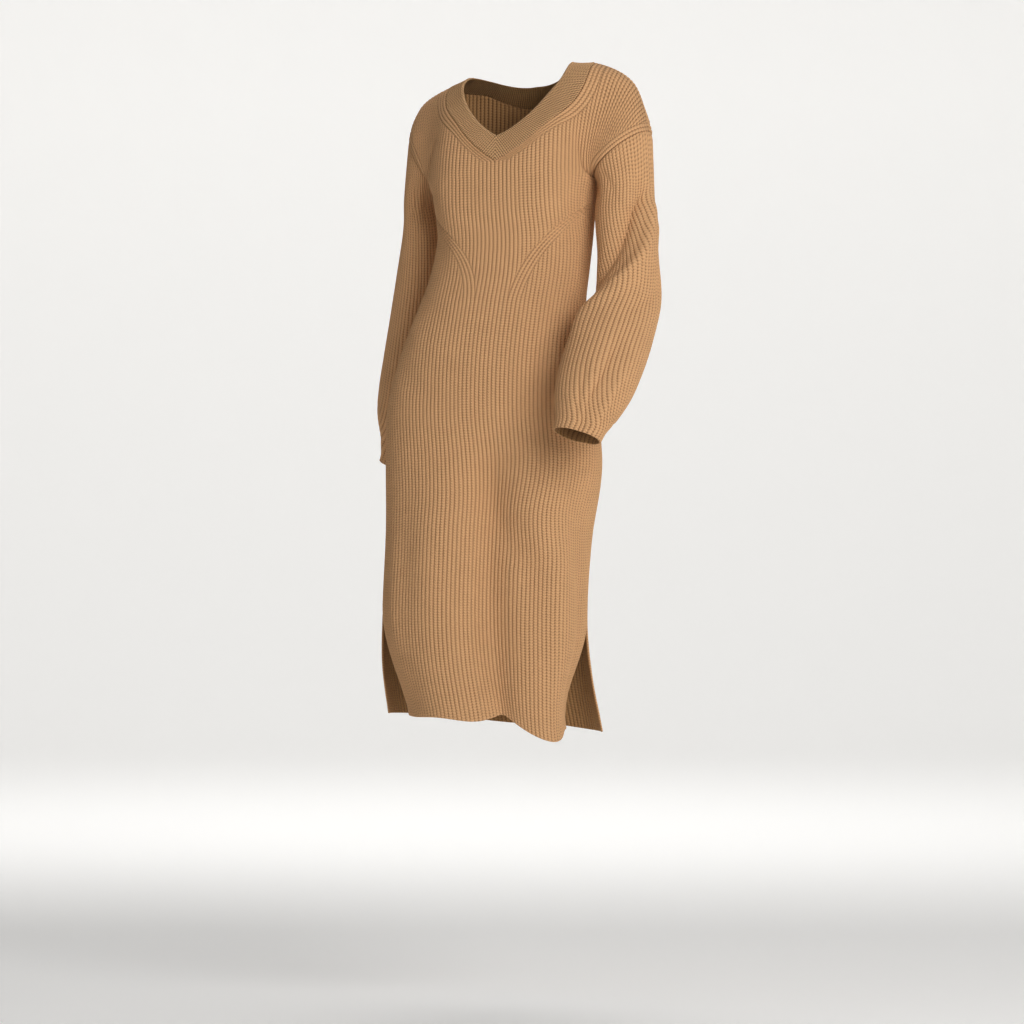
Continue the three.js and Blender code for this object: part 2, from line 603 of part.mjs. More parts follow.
// The neckband's two edges, from the point of the V round to the middle of the back. The seam edge
// follows the panels' neck edges, and the free edge is a smaller neckline on the same surface.
function neckLine(side, edge) {
  const cells = YOKE_RISES.front.map((rise) => {
    const up = (rise - NECK_SEAM.front) / (1 - NECK_SEAM.front);
    const height = edge.front + (1 - edge.front) * up;
    return cloth("front", side, height, neckOut("front", side, height, edge));
  });
  if (edge.back < 1) {
    const rises = YOKE_RISES.back.filter((rise) => rise >= edge.back).reverse();
    cells.push(...rises.map((rise) => cloth("back", side, rise, neckOut("back", side, rise, edge))));
  } else {
    const out = ridgeOut("back", side, edge);
    cells.push(...shares(BACK_BAND_SPANS).map((share) => cloth("back", side, 1, out * (1 - share))));
  }
  return { ...measured(cells.map((cell) => cell.point)), normals: cells.map((cell) => cell.normal) };
}
function alongNeck(line, share) {
  const { i, t } = placeIn(line, share * line.length);
  const normal = line.normals[i - 1].clone().lerp(line.normals[i], t);
  return { point: line.points[i - 1].clone().lerp(line.points[i], t), normal };
}

// Places along half the neckband's seam, about a step apart. The line's own corners are among them, so
// that the band keeps beside the panels, and so is the end of the mitre.
function bandPlaces(line, step) {
  const corners = [...line.run, BAND_MITRE].sort((a, b) => a - b);
  const places = [0];
  for (let i = 1; i < corners.length; i += 1) {
    const [from, to] = [corners[i - 1], corners[i]];
    const spans = Math.max(1, Math.round((to - from) / step));
    for (const share of shares(spans).slice(1)) places.push(from + (to - from) * share);
  }
  return places;
}

// Half the neckband: its ribs run across it, and from the point of the V to the end of the mitre they end
// on the line between the seam's point and the free edge's
function bandRows(side, step, raise) {
  const seam = neckLine(side, NECK_SEAM);
  const free = neckLine(side, NECK_FREE);
  const point = alongNeck(seam, 0);
  point.point.z += SEAM_GAP;
  const tip = alongNeck(free, 0).point;
  const rows = [[], []];
  const places = bandPlaces(seam, step);
  const last = places.length - 1;
  places.forEach((place, j) => {
    const out = raise === null ? 0 : WALL + (j % 2 && j < last ? raise : 0);
    const low = j === 0 ? point : alongNeck(seam, place / seam.length);
    const across = alongNeck(free, (place - BAND_MITRE) / (seam.length - BAND_MITRE)).point;
    const high = place < BAND_MITRE ? point.point.clone().lerp(tip, place / BAND_MITRE) : across;
    if (j > 0) {
      const along = alongNeck(seam, place / seam.length + 0.004).point;
      along.sub(alongNeck(seam, place / seam.length - 0.004).point);
      const aside = along.cross(low.normal).multiplyScalar(-sign(side));
      const inward = j < last ? aside : high.clone().sub(low.point);
      low.point.addScaledVector(inward.normalize(), SEAM_GAP);
    }
    rows[0].push(moved(low, out));
    rows[1].push(moved({ point: high, normal: place <= BAND_MITRE ? point.normal : low.normal }, out));
  });
  return { rows, free: rows[1].slice(places.findIndex((place) => place >= BAND_MITRE)) };
}

function bandMesh(colour) {
  const gathering = new Gathering();
  for (const side of SIDES) {
    const flip = side === "right";
    const outer = bandRows(side, BAND_PITCH * 0.5, BAND_RAISE);
    const inner = bandRows(side, INSIDE_BAND_STEP, null);
    gathering.sheet(outer.rows, flip);
    gathering.sheet(inner.rows, !flip);
    gathering.rim(outer.rows[0], inner.rows[0], flip);
    gathering.rim(outer.free, inner.free, !flip);
  }
  return gathering.mesh("neckband", colour);
}

const dress = new THREE.Group();
dress.add(panelMesh("front", 0xc69a6b));
dress.add(panelMesh("back", 0xbf9365));
dress.add(sleeveMesh("left", 0xc4986a));
dress.add(sleeveMesh("right", 0xb98c5e));
dress.add(bandMesh(0xbd935f));

export default dress;
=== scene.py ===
"""A ribbed V-neck sweater dress, hollow as it is worn, on a pale floor in soft studio light.

Every piece is one knitted wall in the form of the frame's solid, with finer ribs, rounded edges, soft
creases and stitches. Shapes are worked out in millimetres, front towards -Y and the wearer's left at +X.
"""
import math

import bpy
import numpy as np
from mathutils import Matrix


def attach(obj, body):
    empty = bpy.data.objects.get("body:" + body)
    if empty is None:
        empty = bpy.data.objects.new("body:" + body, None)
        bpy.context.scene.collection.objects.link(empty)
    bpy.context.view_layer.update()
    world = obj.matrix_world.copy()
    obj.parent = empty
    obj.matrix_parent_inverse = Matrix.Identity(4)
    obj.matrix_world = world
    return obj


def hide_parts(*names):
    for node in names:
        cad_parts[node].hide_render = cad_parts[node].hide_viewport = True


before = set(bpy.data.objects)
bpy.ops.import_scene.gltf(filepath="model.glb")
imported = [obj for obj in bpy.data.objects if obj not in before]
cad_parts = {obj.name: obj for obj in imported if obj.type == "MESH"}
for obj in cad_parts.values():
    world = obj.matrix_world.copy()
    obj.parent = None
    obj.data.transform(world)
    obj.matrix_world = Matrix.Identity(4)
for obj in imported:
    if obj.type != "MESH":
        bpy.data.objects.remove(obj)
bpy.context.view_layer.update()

bl_info = {
    "name": "Ribbed sweater dress",
    "version": (1, 0, 0),
    "blender": (4, 5, 0),
    "location": "3D View > Sidebar > Dress",
    "description": "Knits the pieces of a long V-neck rib dress as surfaces, and sets a plain studio",
    "category": "Add Mesh",
}

# Knit, in millimetres
WALL = 2.2  # from the plain inside to the valleys between ribs
RIB_PITCH = 7.1
RIB_RAISE = 1.7
THICKNESS = WALL + RIB_RAISE
SEAM_GAP = 0.04  # the linked seams are drawn tight
EDGE_ROUND = 1.7  # how far in from an edge the wall reaches its full thickness

# Levels: a height below 0 is millimetres under the armhole level, and one from 0 to 1 is a share of the
# yoke's rise, which closes over the shoulders
HEM_Z = -1100
ARMHOLE_Z = -178
SLIT_LENGTH = 190
YOKE_HEIGHT = 200  # about, for placing creases

SIDES = ("right", "left")


def table(names, *rows):
    """Rows of numbers as an array for each named column."""
    return dict(zip(names.split(), np.array(rows, float).T))


def listed(names, *rows):
    """Rows of values, each with its values by name."""
    return [dict(zip(names.split(), row)) for row in rows]


# Sections of the tube, outside, from hem to armhole: the middle, the half width at the side seams, the
# depth in front and behind, degrees of turn and of tip towards the wearer's left, and squareness
BODY = table(
    "z x half front back turn tip square",
    (-1100, -50, 184, 130, 122, 18, 5, 2.15),
    (-1010, -65, 180, 125, 122, 18, 4.5, 2.15),
    (-915, -69, 175, 119, 121, 17, 4, 2.15),
    (-780, -62, 176, 114, 121, 15, 3.5, 2.15),
    (-660, -53, 185, 109, 124, 13, 3, 2.15),
    (-570, -55, 181, 107, 122, 11, 2, 2.15),
    (-480, -50, 164, 101, 108, 9, 1, 2.15),
    (-392, -37, 144, 95, 90, 7, 0, 2.15),
    (-335, -23, 137, 99, 85, 5, -1, 2.15),
    (-280, -14, 135, 107, 88, 3, -1.5, 2.15),
    (-228, -12, 138, 113, 94, 1, -2, 2.3),
    (-178, -12, 147, 110, 98, 0, -2, 2.6),
)
BUST = {"z": -222, "share": 0.4, "high": 62, "wide": 0.2, "out": 9}

# The ridge over each shoulder, from the neck base out to the end of the shoulder seam
SHOULDER = {
    "left": table(
        "x y z",
        (0, 0, 22), (64, 0, 21), (100, 0, 20), (129, 0, 16), (155, 0, 8), (179, 1, -4),
        (196, 2, -19), (206, 2, -37), (213, 2, -58), (219, 1, -80), (223, 0, -100),
    ),
    "right": table(
        "x y z",
        (0, 0, 22), (60, 0, 10), (95, 0, -3), (129, 2, -17), (152, 6, -26), (173, 12, -36),
        (190, 19, -48), (200, 24, -63), (206, 28, -80), (210, 31, -98),
    ),
}
NECK_HOLLOW = {"front": (-45, -39), "back": (70, -34)}  # y and z at the middle, off the ridge

# Neckline: where the V and the back neck start, as shares of the yoke's rise, and how far out along the
# shoulder they end, for the seam of the neckband and for its free edge
NECK_SEAM = {"front": 0.106, "back": 0.58, "half": {"left": 129, "right": 121}}
NECK_FREE = {"front": 0.287, "back": 1, "half": {"left": 91, "right": 86}}
NECK_CURVE = {"left": 2.2, "right": 1.5}  # 1 is a straight V
NECK_SOFT = 0.16  # how softly the ridge turns down into the neck
BAND_MITRE = 28

ARMHOLE_DEPTH = {"left": {"front": 62, "back": 66}, "right": {"front": 46, "back": 84}}
BOW_FADE = 2.5
YOKE_FULLNESS = {"front": 1, "back": 1.6}

# Ribs in half a panel, counted out from its centre line
NECK_RIBS = {"front": 3, "back": 0}
EDGE_RIBS = 2
DART_RIBS = 3
DART = {"lowZ": -392, "highZ": -222, "lowRib": 4, "highRib": 34}
MOST_RIBS = 48

TUCK = {"left": 62, "right": 36}

# Folds of the skirt: shares of a half panel (wearer's left positive) and levels at each end, half width
# in shares, how far it stands out, and how far it lowers the hem
SKIRT_FOLDS = listed(
    "panel from fromZ to toZ wide out drop",
    ("front", 0.02, -560, 0.1, -1100, 0.15, -29, -20),
    ("front", 0.3, -600, 0.5, -1100, 0.22, 24, 20),
    ("front", -0.3, -640, -0.36, -1100, 0.24, 12, -6),
    ("front", -0.06, -640, 0.3, -840, 0.1, -15, 0),
    ("back", -0.28, -640, -0.34, -1100, 0.16, -14, -4),
    ("back", 0.02, -700, 0.06, -1100, 0.2, 16, 4),
    ("back", 0.42, -680, 0.4, -1100, 0.16, -12, -3),
)
FOLD_RISE = 190
FOLD_END = 80

# Soft creases of a panel, in millimetres on the flat cloth: across from the centre line (wearer's left
# positive) and level, at each end, half width, how far the cloth stands out, how much the line bows, and
# lean, under 1 where the crease is strongest near its start
PANEL_WIDTH = 200  # from the centre line to the side seam, about
PANEL_CREASES = {
    "front": listed(
        "x0 z0 x1 z1 wide out bow lean",
        (-176, -168, -112, -92, 9, -3.4, 6, 0.8),
        (-184, -182, -128, -138, 7, 2.6, 4, 0.7),
        (-190, -206, -132, -190, 8, -2.4, 4, 0.7),
        (172, -172, 118, -96, 10, -3.0, -6, 0.8),
        (184, -196, 136, -160, 8, 2.2, -4, 0.7),
        (178, -250, 96, -300, 15, -2.2, 8, 0.8),
        (-176, -262, -84, -330, 17, -2.6, -9, 0.7),
        (-178, -360, -70, -398, 14, -2.6, 8, 0.8),
        (176, -372, 60, -420, 16, -2.8, -9, 0.7),
        (-174, -404, -30, -470, 20, 2.4, 12, 0.9),
        (170, -428, 24, -500, 19, 2.2, -12, 0.8),
        (-150, -486, -20, -560, 18, -2.8, 10, 0.8),
        (-96, -640, -76, -1040, 22, -4.0, 9, 1.2),
        (-140, -700, -132, -1090, 16, 3.2, -6, 1.3),
        (66, -700, 86, -1060, 15, -3.4, 7, 1.3),
        (128, -760, 150, -1070, 14, -3.0, -5, 1.2),
        (4, -820, 22, -1100, 10, 2.6, 3, 1.4),
    ),
    "back": listed(
        "x0 z0 x1 z1 wide out bow lean",
        (-180, -172, -110, -86, 11, -3.6, 7, 0.8),
        (-186, -192, -126, -140, 8, 2.6, 5, 0.7),
        (178, -170, 108, -82, 11, -3.4, -7, 0.8),
        (186, -196, 130, -150, 8, 2.4, -5, 0.7),
        (-40, -150, -30, -330, 16, -3.6, 5, 0.9),
        (52, -190, 36, -350, 14, -3.0, -5, 1.0),
        (-168, -330, -20, -380, 15, -3.2, 10, 0.8),
        (170, -352, 14, -404, 16, -3.4, -10, 0.8),
        (-160, -392, -30, -424, 12, 2.8, 8, 0.8),
        (150, -300, 40, -340, 12, -2.4, -8, 0.9),
        (-150, -520, -60, -640, 18, -3.0, 12, 0.8),
        (156, -560, 50, -690, 20, -3.2, -12, 0.8),
        (-110, -760, -118, -1080, 16, 3.0, 7, 1.3),
        (92, -760, 104, -1090, 17, -3.4, -8, 1.3),
        (150, -820, 158, -1080, 14, 2.8, 5, 1.3),
    ),
}

# The sleeves below the armhole, outside: the middle of each section, its half widths and its ribs
SLEEVES = {
    "left": table(
        "x y z wide deep ribs",
        (185.5, -4, -190, 46.5, 60, 50),
        (184, -6, -238, 49, 57, 50),
        (193, -12, -315, 52, 57, 50),
        (196, -26, -378, 58, 58, 50),
        (184, -54, -434, 68, 60, 50),
        (177, -84, -480, 71, 58, 50),
        (170, -114, -527, 69, 56, 48),
        (163, -138, -566, 59, 49, 40),
        (157, -154, -598, 46, 36, 30),
        (153, -161, -615, 43, 33, 30),
    ),
    "right": table(
        "x y z wide deep ribs",
        (-197, 47, -196, 30, 64, 50),
        (-196, 52, -245, 35, 61, 50),
        (-207, 70, -325, 45, 57, 50),
        (-225, 98, -405, 52, 60, 50),
        (-239, 122, -475, 60, 63, 50),
        (-251, 138, -533, 64, 63, 50),
        (-263, 149, -578, 60, 58, 46),
        (-275, 157, -615, 47, 44, 36),
        (-286, 163, -646, 38, 35, 30),
        (-291, 165, -660, 37, 34, 30),
    ),
}
SLEEVE_LINE = 215
SLEEVE_LINE_RIBS = 2
MOST_SLEEVE_RIBS = 50
UNDERARM_TURN = 90
SLEEVE_LENGTH = 545  # along the sleeve, about
SLEEVE_DEGREE = 1.05  # millimetres round the sleeve to a degree, about
CUFF_DEEP = 46  # of the cuff's change of stitch

# Folds of the sleeves: degrees round from the underarm by way of the front and share of the way down, at
# each end, half width in degrees, how far it stands out and how long it fades
SLEEVE_FOLDS = {
    "left": listed(
        "from fromDown to toDown wide out fade",
        (176, 0.24, 50, 0.5, 22, 9, 0.1),
        (140, 0.18, 20, 0.42, 22, -8, 0.1),
        (130, 0.6, 112, 0.92, 18, -5, 0.1),
        (250, 0.5, 265, 0.9, 20, -6, 0.12),
    ),
    "right": listed(
        "from fromDown to toDown wide out fade",
        (70, 0.4, 100, 0.88, 18, -5, 0.12),
        (190, 0.45, 180, 0.9, 20, -5, 0.12),
        (275, 0.4, 250, 0.9, 20, -6, 0.12),
    ),
}

# Soft creases of a sleeve: degrees round and millimetres down at each end, then as for the panels
SLEEVE_CREASES = {
    "left": listed(
        "x0 z0 x1 z1 wide out bow lean",
        (184, 92, 62, 236, 8, 10.0, 8, 0.9),
        (170, 62, 44, 206, 11, -10.0, 8, 0.9),
        (206, 150, 92, 290, 14, -4.0, 10, 0.9),
        (60, 24, 96, 96, 8, -2.6, 4, 0.7),
        (24, 20, 52, 100, 8, -3.0, -4, 0.7),
        (320, 24, 292, 110, 9, -2.8, 5, 0.7),
        (120, 300, 104, 470, 8, -3.4, 6, 1.2),
        (150, 330, 146, 500, 7, 2.8, -4, 1.3),
        (84, 350, 92, 500, 7, -2.8, 4, 1.3),
        (196, 320, 186, 496, 9, -3.2, 5, 1.2),
        (236, 300, 240, 490, 9, 3.0, -5, 1.2),
        (300, 260, 316, 470, 11, -3.6, 6, 1.1),
        (340, 180, 300, 280, 10, -3.0, 8, 0.9),
    ),
    "right": listed(
        "x0 z0 x1 z1 wide out bow lean",
        (40, 22, 70, 112, 8, -3.0, 5, 0.7),
        (76, 26, 100, 90, 7, -2.2, -4, 0.7),
        (318, 20, 286, 118, 9, -3.0, -6, 0.7),
        (30, 200, 96, 290, 11, -3.0, 8, 0.9),
        (60, 250, 118, 330, 10, 2.6, 6, 0.9),
        (96, 330, 108, 520, 8, -3.2, 6, 1.2),
        (136, 320, 140, 520, 8, 2.8, -5, 1.3),
        (166, 350, 160, 530, 7, -2.8, 4, 1.3),
        (220, 300, 206, 510, 9, -3.4, 6, 1.2),
        (262, 280, 244, 520, 9, 2.8, -5, 1.2),
        (310, 300, 322, 520, 10, -3.2, 6, 1.1),
    ),
}

# How finely the cloth is cut
RIB_STEPS = 8  # across a rib
ROW_SAMPLES = 150  # along half a row, to measure it
STEP = 1.5  # along a row, to find the cloth's direction
INSIDE_STEP = 1.2  # in ribs
SLEEVE_INSIDE_SPANS = 56
SLEEVE_ROWS = 96


def smooth(t):
    """3t^2 - 2t^3, held between 0 and 1."""
    t = np.clip(t, 0, 1)
    return t * t * (3 - 2 * t)


def bell(t):
    """exp(-t^2)."""
    return np.exp(-t * t)


def mix(a, b, t):
    return a + (b - a) * t


def unit(v):
    return v / np.maximum(np.linalg.norm(v, axis=-1, keepdims=True), 1e-9)


def sign(side):
    return 1.0 if side == "left" else -1.0


def facing(panel):
    return -1.0 if panel == "front" else 1.0


def column(rows, along, place, name):
    """One column of a table read at places along another: a cubic between each pair of rows, whose slope at
    a row is that between its two neighbours."""
    order = np.argsort(rows[along])
    x, y = rows[along][order], rows[name][order]
    slope = np.empty_like(x)
    slope[1:-1] = (y[2:] - y[:-2]) / (x[2:] - x[:-2])
    slope[0] = (y[1] - y[0]) / (x[1] - x[0])
    slope[-1] = (y[-1] - y[-2]) / (x[-1] - x[-2])
    i = np.clip(np.searchsorted(x, place, side="right") - 1, 0, len(x) - 2)
    span = x[i + 1] - x[i]
    t = np.clip((place - x[i]) / span, 0, 1)
    return (
        (2 * t**3 - 3 * t**2 + 1) * y[i]
        + (t**3 - 2 * t**2 + t) * span * slope[i]
        + (3 * t**2 - 2 * t**3) * y[i + 1]
        + (t**3 - t**2) * span * slope[i + 1]
    )


def crease(across, level, rows, period=None):
    """How far creases move the cloth: for each, a bell across its bowed line, times a half sine along it."""
    total = np.zeros(np.broadcast(across, level).shape)
    for c in rows:
        run = np.array([c["x1"] - c["x0"], c["z1"] - c["z0"]], float)
        length = math.hypot(*run)
        dx, dz = across - c["x0"], level - c["z0"]
        if period:
            dx = (dx + period / 2) % period - period / 2
        t = np.clip((dx * run[0] + dz * run[1]) / length**2, 0, 1)
        aside = (dx * run[1] - dz * run[0]) / length - c["bow"] * np.sin(t * np.pi)
        total = total + c["out"] * bell(aside / c["wide"]) * np.sin(np.pi * t ** c["lean"])
    return total


# The tube and the yoke


def slit_open(z):
    return smooth((HEM_Z + SLIT_LENGTH - z) / SLIT_LENGTH)


def fold_shares(panel, side, share, z):
    """For each skirt fold of a panel, the fold and how much of it is felt: a bell across its line."""
    for fold in SKIRT_FOLDS:
        if fold["panel"] == panel:
            down = np.clip((fold["fromZ"] - z) / (fold["fromZ"] - fold["toZ"]), 0, 1)
            middle = mix(fold["from"], fold["to"], down)
            below = bell(np.maximum(fold["toZ"] - z, 0) / FOLD_END)
            rise = smooth((fold["fromZ"] - z) / FOLD_RISE) * below
            yield fold, rise * bell((sign(side) * share - middle) / fold["wide"])


def tube_point(panel, side, share, z):
    """A superellipse from the panel's middle (0) round to the side seam (1), turned and tipped."""
    power = 2 / column(BODY, "z", z, "square")
    angle = share * np.pi * 0.5
    tuck = TUCK[side] * slit_open(z) if panel == "front" else 0
    half = column(BODY, "z", z, "half") - THICKNESS - tuck
    across = sign(side) * half * np.sin(angle) ** power
    deep = column(BODY, "z", z, panel) - THICKNESS
    out = facing(panel) * deep * np.maximum(np.cos(angle), 0) ** power
    turn = np.radians(column(BODY, "z", z, "turn"))
    drop = sum(fold["drop"] * felt for fold, felt in fold_shares(panel, side, share, z))
    lowered = across * np.tan(np.radians(column(BODY, "z", z, "tip"))) + slit_open(z) * drop
    x = column(BODY, "z", z, "x") + across * np.cos(turn) - out * np.sin(turn)
    y = across * np.sin(turn) + out * np.cos(turn)
    return np.stack([x, y, z - lowered], axis=-1)


def fullness(panel, side, share, z):
    folds = sum(fold["out"] * felt for fold, felt in fold_shares(panel, side, share, z))
    if panel == "back":
        return folds
    wide = bell((share - BUST["share"]) / BUST["wide"])
    return folds + BUST["out"] * wide * bell((z - BUST["z"]) / BUST["high"])


def ridge(panel, side):
    """The line over the shoulder that a panel ends on, from the middle of the neck, hollowed there."""
    rows = SHOULDER[side]
    x = rows["x"][-1] * np.linspace(0, 1, ROW_SAMPLES + 1)
    near = 1 - (x / NECK_FREE["half"][side]) ** 2
    near = (near + np.sqrt(near**2 + NECK_SOFT**2)) / 2
    y = column(rows, "x", x, "y") + NECK_HOLLOW[panel][0] * near + facing(panel) * SEAM_GAP * 0.5
    z = column(rows, "x", x, "z") + NECK_HOLLOW[panel][1] * near
    return np.stack([sign(side) * x, y, z], axis=-1)


def armhole_row(panel, side):
    share = np.linspace(0, 1, ROW_SAMPLES + 1)
    return tube_point(panel, side, share, np.full_like(share, ARMHOLE_Z))


def lengths(points):
    """The running length along a line of points."""
    steps = np.linalg.norm(np.diff(points, axis=0), axis=1)
    return np.concatenate([[0], np.cumsum(steps)])


def along(points, run, place):
    """The points of a line at lengths along it, straight between its own points."""
    return np.stack([np.interp(place, run, points[:, k]) for k in range(3)], axis=-1)


def underarm(side):
    return armhole_row("front", side)[-1]


def seam_end(side):
    return ridge("front", side)[-1] + np.array([0, SEAM_GAP * 0.5, 0])


def armhole(side, degrees):
    """The armhole's oval, round from the underarm (0 degrees) by way of the front."""
    angle = np.radians(degrees)
    depth = ARMHOLE_DEPTH[side]
    bow = np.where(np.sin(angle) > 0, depth["front"], depth["back"]) * np.sin(angle)
    point = mix(underarm(side), seam_end(side), ((1 - np.cos(angle)) / 2)[..., None])
    return point - np.stack([0 * bow, bow, 0 * bow], axis=-1)


def armhole_facing(side, degrees):
    """Out at the underarm, forward or back beside the arm, and out and up at the shoulder."""
    angle = np.radians(degrees)
    high = (1 - np.cos(angle)) / 2
    x = sign(side) * (0.45 + 0.55 * np.cos(angle) ** 2)
    return unit(np.stack([x, -np.sin(angle), 0.3 * high], axis=-1))


def yoke_point(panel, side, share, rise):
    """A quarter ellipse up each line over the chest, and half of the armhole's oval beside the armhole."""
    low_line, high_line = armhole_row(panel, side), ridge(panel, side)
    low_run, high_run = lengths(low_line), lengths(high_line)
    low = along(low_line, low_run, share * low_run[-1])
    high = along(high_line, high_run, share * high_run[-1])
    bend = 1 - np.cos(rise * np.pi * 0.5)
    weights = np.stack([bend, bend ** YOKE_FULLNESS[panel], np.sin(rise * np.pi * 0.5)], axis=-1)
    over = low + (high - low) * weights
    around = mix(low, high, ((1 - np.cos(rise * np.pi)) / 2)[..., None])
    near = smooth((share - 0.45) / 0.55)
    point = mix(over, around, near[..., None])
    bow = facing(panel) * ARMHOLE_DEPTH[side][panel] * np.sin(rise * np.pi) * near**BOW_FADE
    return point + np.stack([0 * bow, bow, 0 * bow], axis=-1)


def panel_point(panel, side, share, height):
    share, height = np.broadcast_arrays(share, height)
    rise = np.maximum(height, 0)
    z = ARMHOLE_Z + np.minimum(height, 0)
    high = (height > 0)[..., None]
    point = np.where(high, yoke_point(panel, side, share, rise), tube_point(panel, side, share, z))
    middle = column(BODY, "z", z, "x")
    x = (point[..., 0] - middle) * (1 - rise)
    away = unit(np.stack([x, point[..., 1] + facing(panel), 0 * x], axis=-1))
    fade = 1 - smooth((share - 0.8) / 0.2)
    felt = fullness(panel, side, share, z + rise * 2 * BUST["high"]) * fade
    level = z + rise * YOKE_HEIGHT
    edge = smooth((1 - share) / 0.06) * smooth((0.96 - rise) / 0.1)
    felt = felt + crease(sign(side) * share * PANEL_WIDTH, level, PANEL_CREASES[panel]) * edge
    return point + away * felt[..., None]


class Rows:
    """A panel's rows at given heights, each measured from the wearer's right to the left."""

    def __init__(self, panel, heights):
        share = np.linspace(0, 1, ROW_SAMPLES + 1)[None, :]
        halves = [panel_point(panel, side, share, heights[:, None]) for side in SIDES]
        self.points = np.concatenate([halves[0][:, ::-1], halves[1][:, 1:]], axis=1)
        steps = np.linalg.norm(np.diff(self.points, axis=1), axis=2)
        self.run = np.concatenate([np.zeros((len(heights), 1)), np.cumsum(steps, axis=1)], axis=1)
        self.middle = self.run[:, ROW_SAMPLES]

    def half(self, side):
        return self.run[:, -1] - self.middle if side == "left" else self.middle

    def at(self, side, out, shift=0):
        """Points so far out from the centre line, for each row, with a shift to the wearer's left."""
        place = np.clip(self.middle[:, None] + sign(side) * out + shift, 0, self.run[:, -1:])
        offset = np.arange(len(self.run))[:, None] * self.run.max() * 1.5
        known = (self.run + offset).ravel()
        wanted = (place + offset).ravel()
        found = [np.interp(wanted, known, self.points[..., k].ravel()) for k in range(3)]
        return np.stack(found, axis=-1).reshape(place.shape + (3,))


def panel_cloth(panel, side, heights, rows, below, out):
    """The plain inside of a panel's cloth and the way it faces: across the row times up the cloth."""
    share = out / rows.half(side)[:, None]
    point = rows.at(side, out)
    across = rows.at(side, out, STEP) - rows.at(side, out, -STEP)
    up = point - below.at(side, share * below.half(side)[:, None])
    normal = unit(np.cross(across, up)) * -facing(panel)
    edge = armhole_facing(side, -facing(panel) * 180 * heights[:, None] + 0 * share)
    near = smooth((share - 0.84) / 0.16) * (heights > 0)[:, None]
    return point, unit(mix(normal, edge, near[..., None]))


def panel_rows(panel, heights):
    return Rows(panel, heights), Rows(panel, heights - np.where(heights > 0, 0.01, 2))


def ridge_out(panel, side, edge):
    line = ridge(panel, side)
    return np.interp(edge["half"][side], np.abs(line[:, 0]), lengths(line))


def neck_out(panel, side, heights, edge):
    """How far out from the centre line the neckline lies: a bowed V in front, a root curve behind."""
    start = math.sin(edge[panel] * math.pi * 0.5)
    reach = ridge_out(panel, side, edge)
    if start >= 1:
        return np.zeros_like(heights)
    up = np.clip((np.sin(np.maximum(heights, 0) * np.pi * 0.5) - start) / (1 - start), 0, 1)
    return reach * (1 - (1 - up) ** NECK_CURVE[side] if panel == "front" else np.sqrt(up))


def dart_rib(z):
    """The first of the dart's ribs, counted from the centre line: an arc off the side seam."""
    up = np.clip((z - DART["lowZ"]) / (DART["highZ"] - DART["lowZ"]), 0, 1)
    rib = DART["lowRib"] + (DART["highRib"] - DART["lowRib"]) * (1 - np.sqrt(1 - up**2))
    return rib + np.where(z > DART["highZ"], MOST_RIBS, 0)


# Ribs


def rib_group(first, count, low, high, number):
    """Columns of ribs side by side, held between two lines, where a rib that is cut off narrows and sinks.
    Each column gives its place, how high its rib is there and its number with the share across the rib."""
    k = np.arange(count * RIB_STEPS)[None, :]
    first, low, high = (np.asarray(v, float)[:, None] for v in (first, low, high))
    start = np.clip(first + k // RIB_STEPS, low, high)
    end = np.clip(first + k // RIB_STEPS + 1, low, high)
    place = np.clip(first + k / RIB_STEPS, low, high)
    width = end - start
    phase = np.clip((place - start) / np.maximum(width, 1e-6), 0, 1)
    crest = rib_profile(phase) * np.clip(width, 0, 1) ** 0.6
    return place, crest, number + k // RIB_STEPS + phase


def rib_profile(phase):
    """A broad crest between narrow valleys: the root of a half sine."""
    return np.sqrt(np.maximum(np.sin(np.pi * phase), 0))


def closing(place, low, high):
    """The last columns, at the far line itself."""
    high = np.asarray(high, float)[:, None]
    return high, 0 * high, place[:, -1:] * 0 + low


def panel_columns(panel, heights, total, neck):
    beside = NECK_RIBS[panel]
    edge = np.maximum(total - EDGE_RIBS, neck + beside)
    past = np.minimum(neck + beside, edge)
    groups = []
    flat = np.zeros_like(heights)
    if beside:
        groups.append(rib_group(neck, beside, neck, past, 0))
    if panel == "front":
        dart = dart_rib(ARMHOLE_Z + np.minimum(heights, 0))
        after = np.clip(dart + DART_RIBS, past, edge)
        groups.append(rib_group(flat + beside, MOST_RIBS, past, np.clip(dart, past, edge), 4))
        groups.append(rib_group(dart, DART_RIBS, past, edge, 60))
        groups.append(rib_group(flat + DART["lowRib"] + DART_RIBS, MOST_RIBS, after, edge, 64))
    else:
        groups.append(rib_group(flat + beside, MOST_RIBS, past, edge, 4))
    k = np.arange(EDGE_RIBS * RIB_STEPS + 1)[None, :]
    width = ((total - edge) / EDGE_RIBS)[:, None]
    phase = (k / RIB_STEPS) % 1
    groups.append((edge[:, None] + width * k / RIB_STEPS, rib_profile(phase) + 0 * width, 120 + k / RIB_STEPS + 0 * width))
    return [np.concatenate(parts, axis=1) for parts in zip(*groups)]


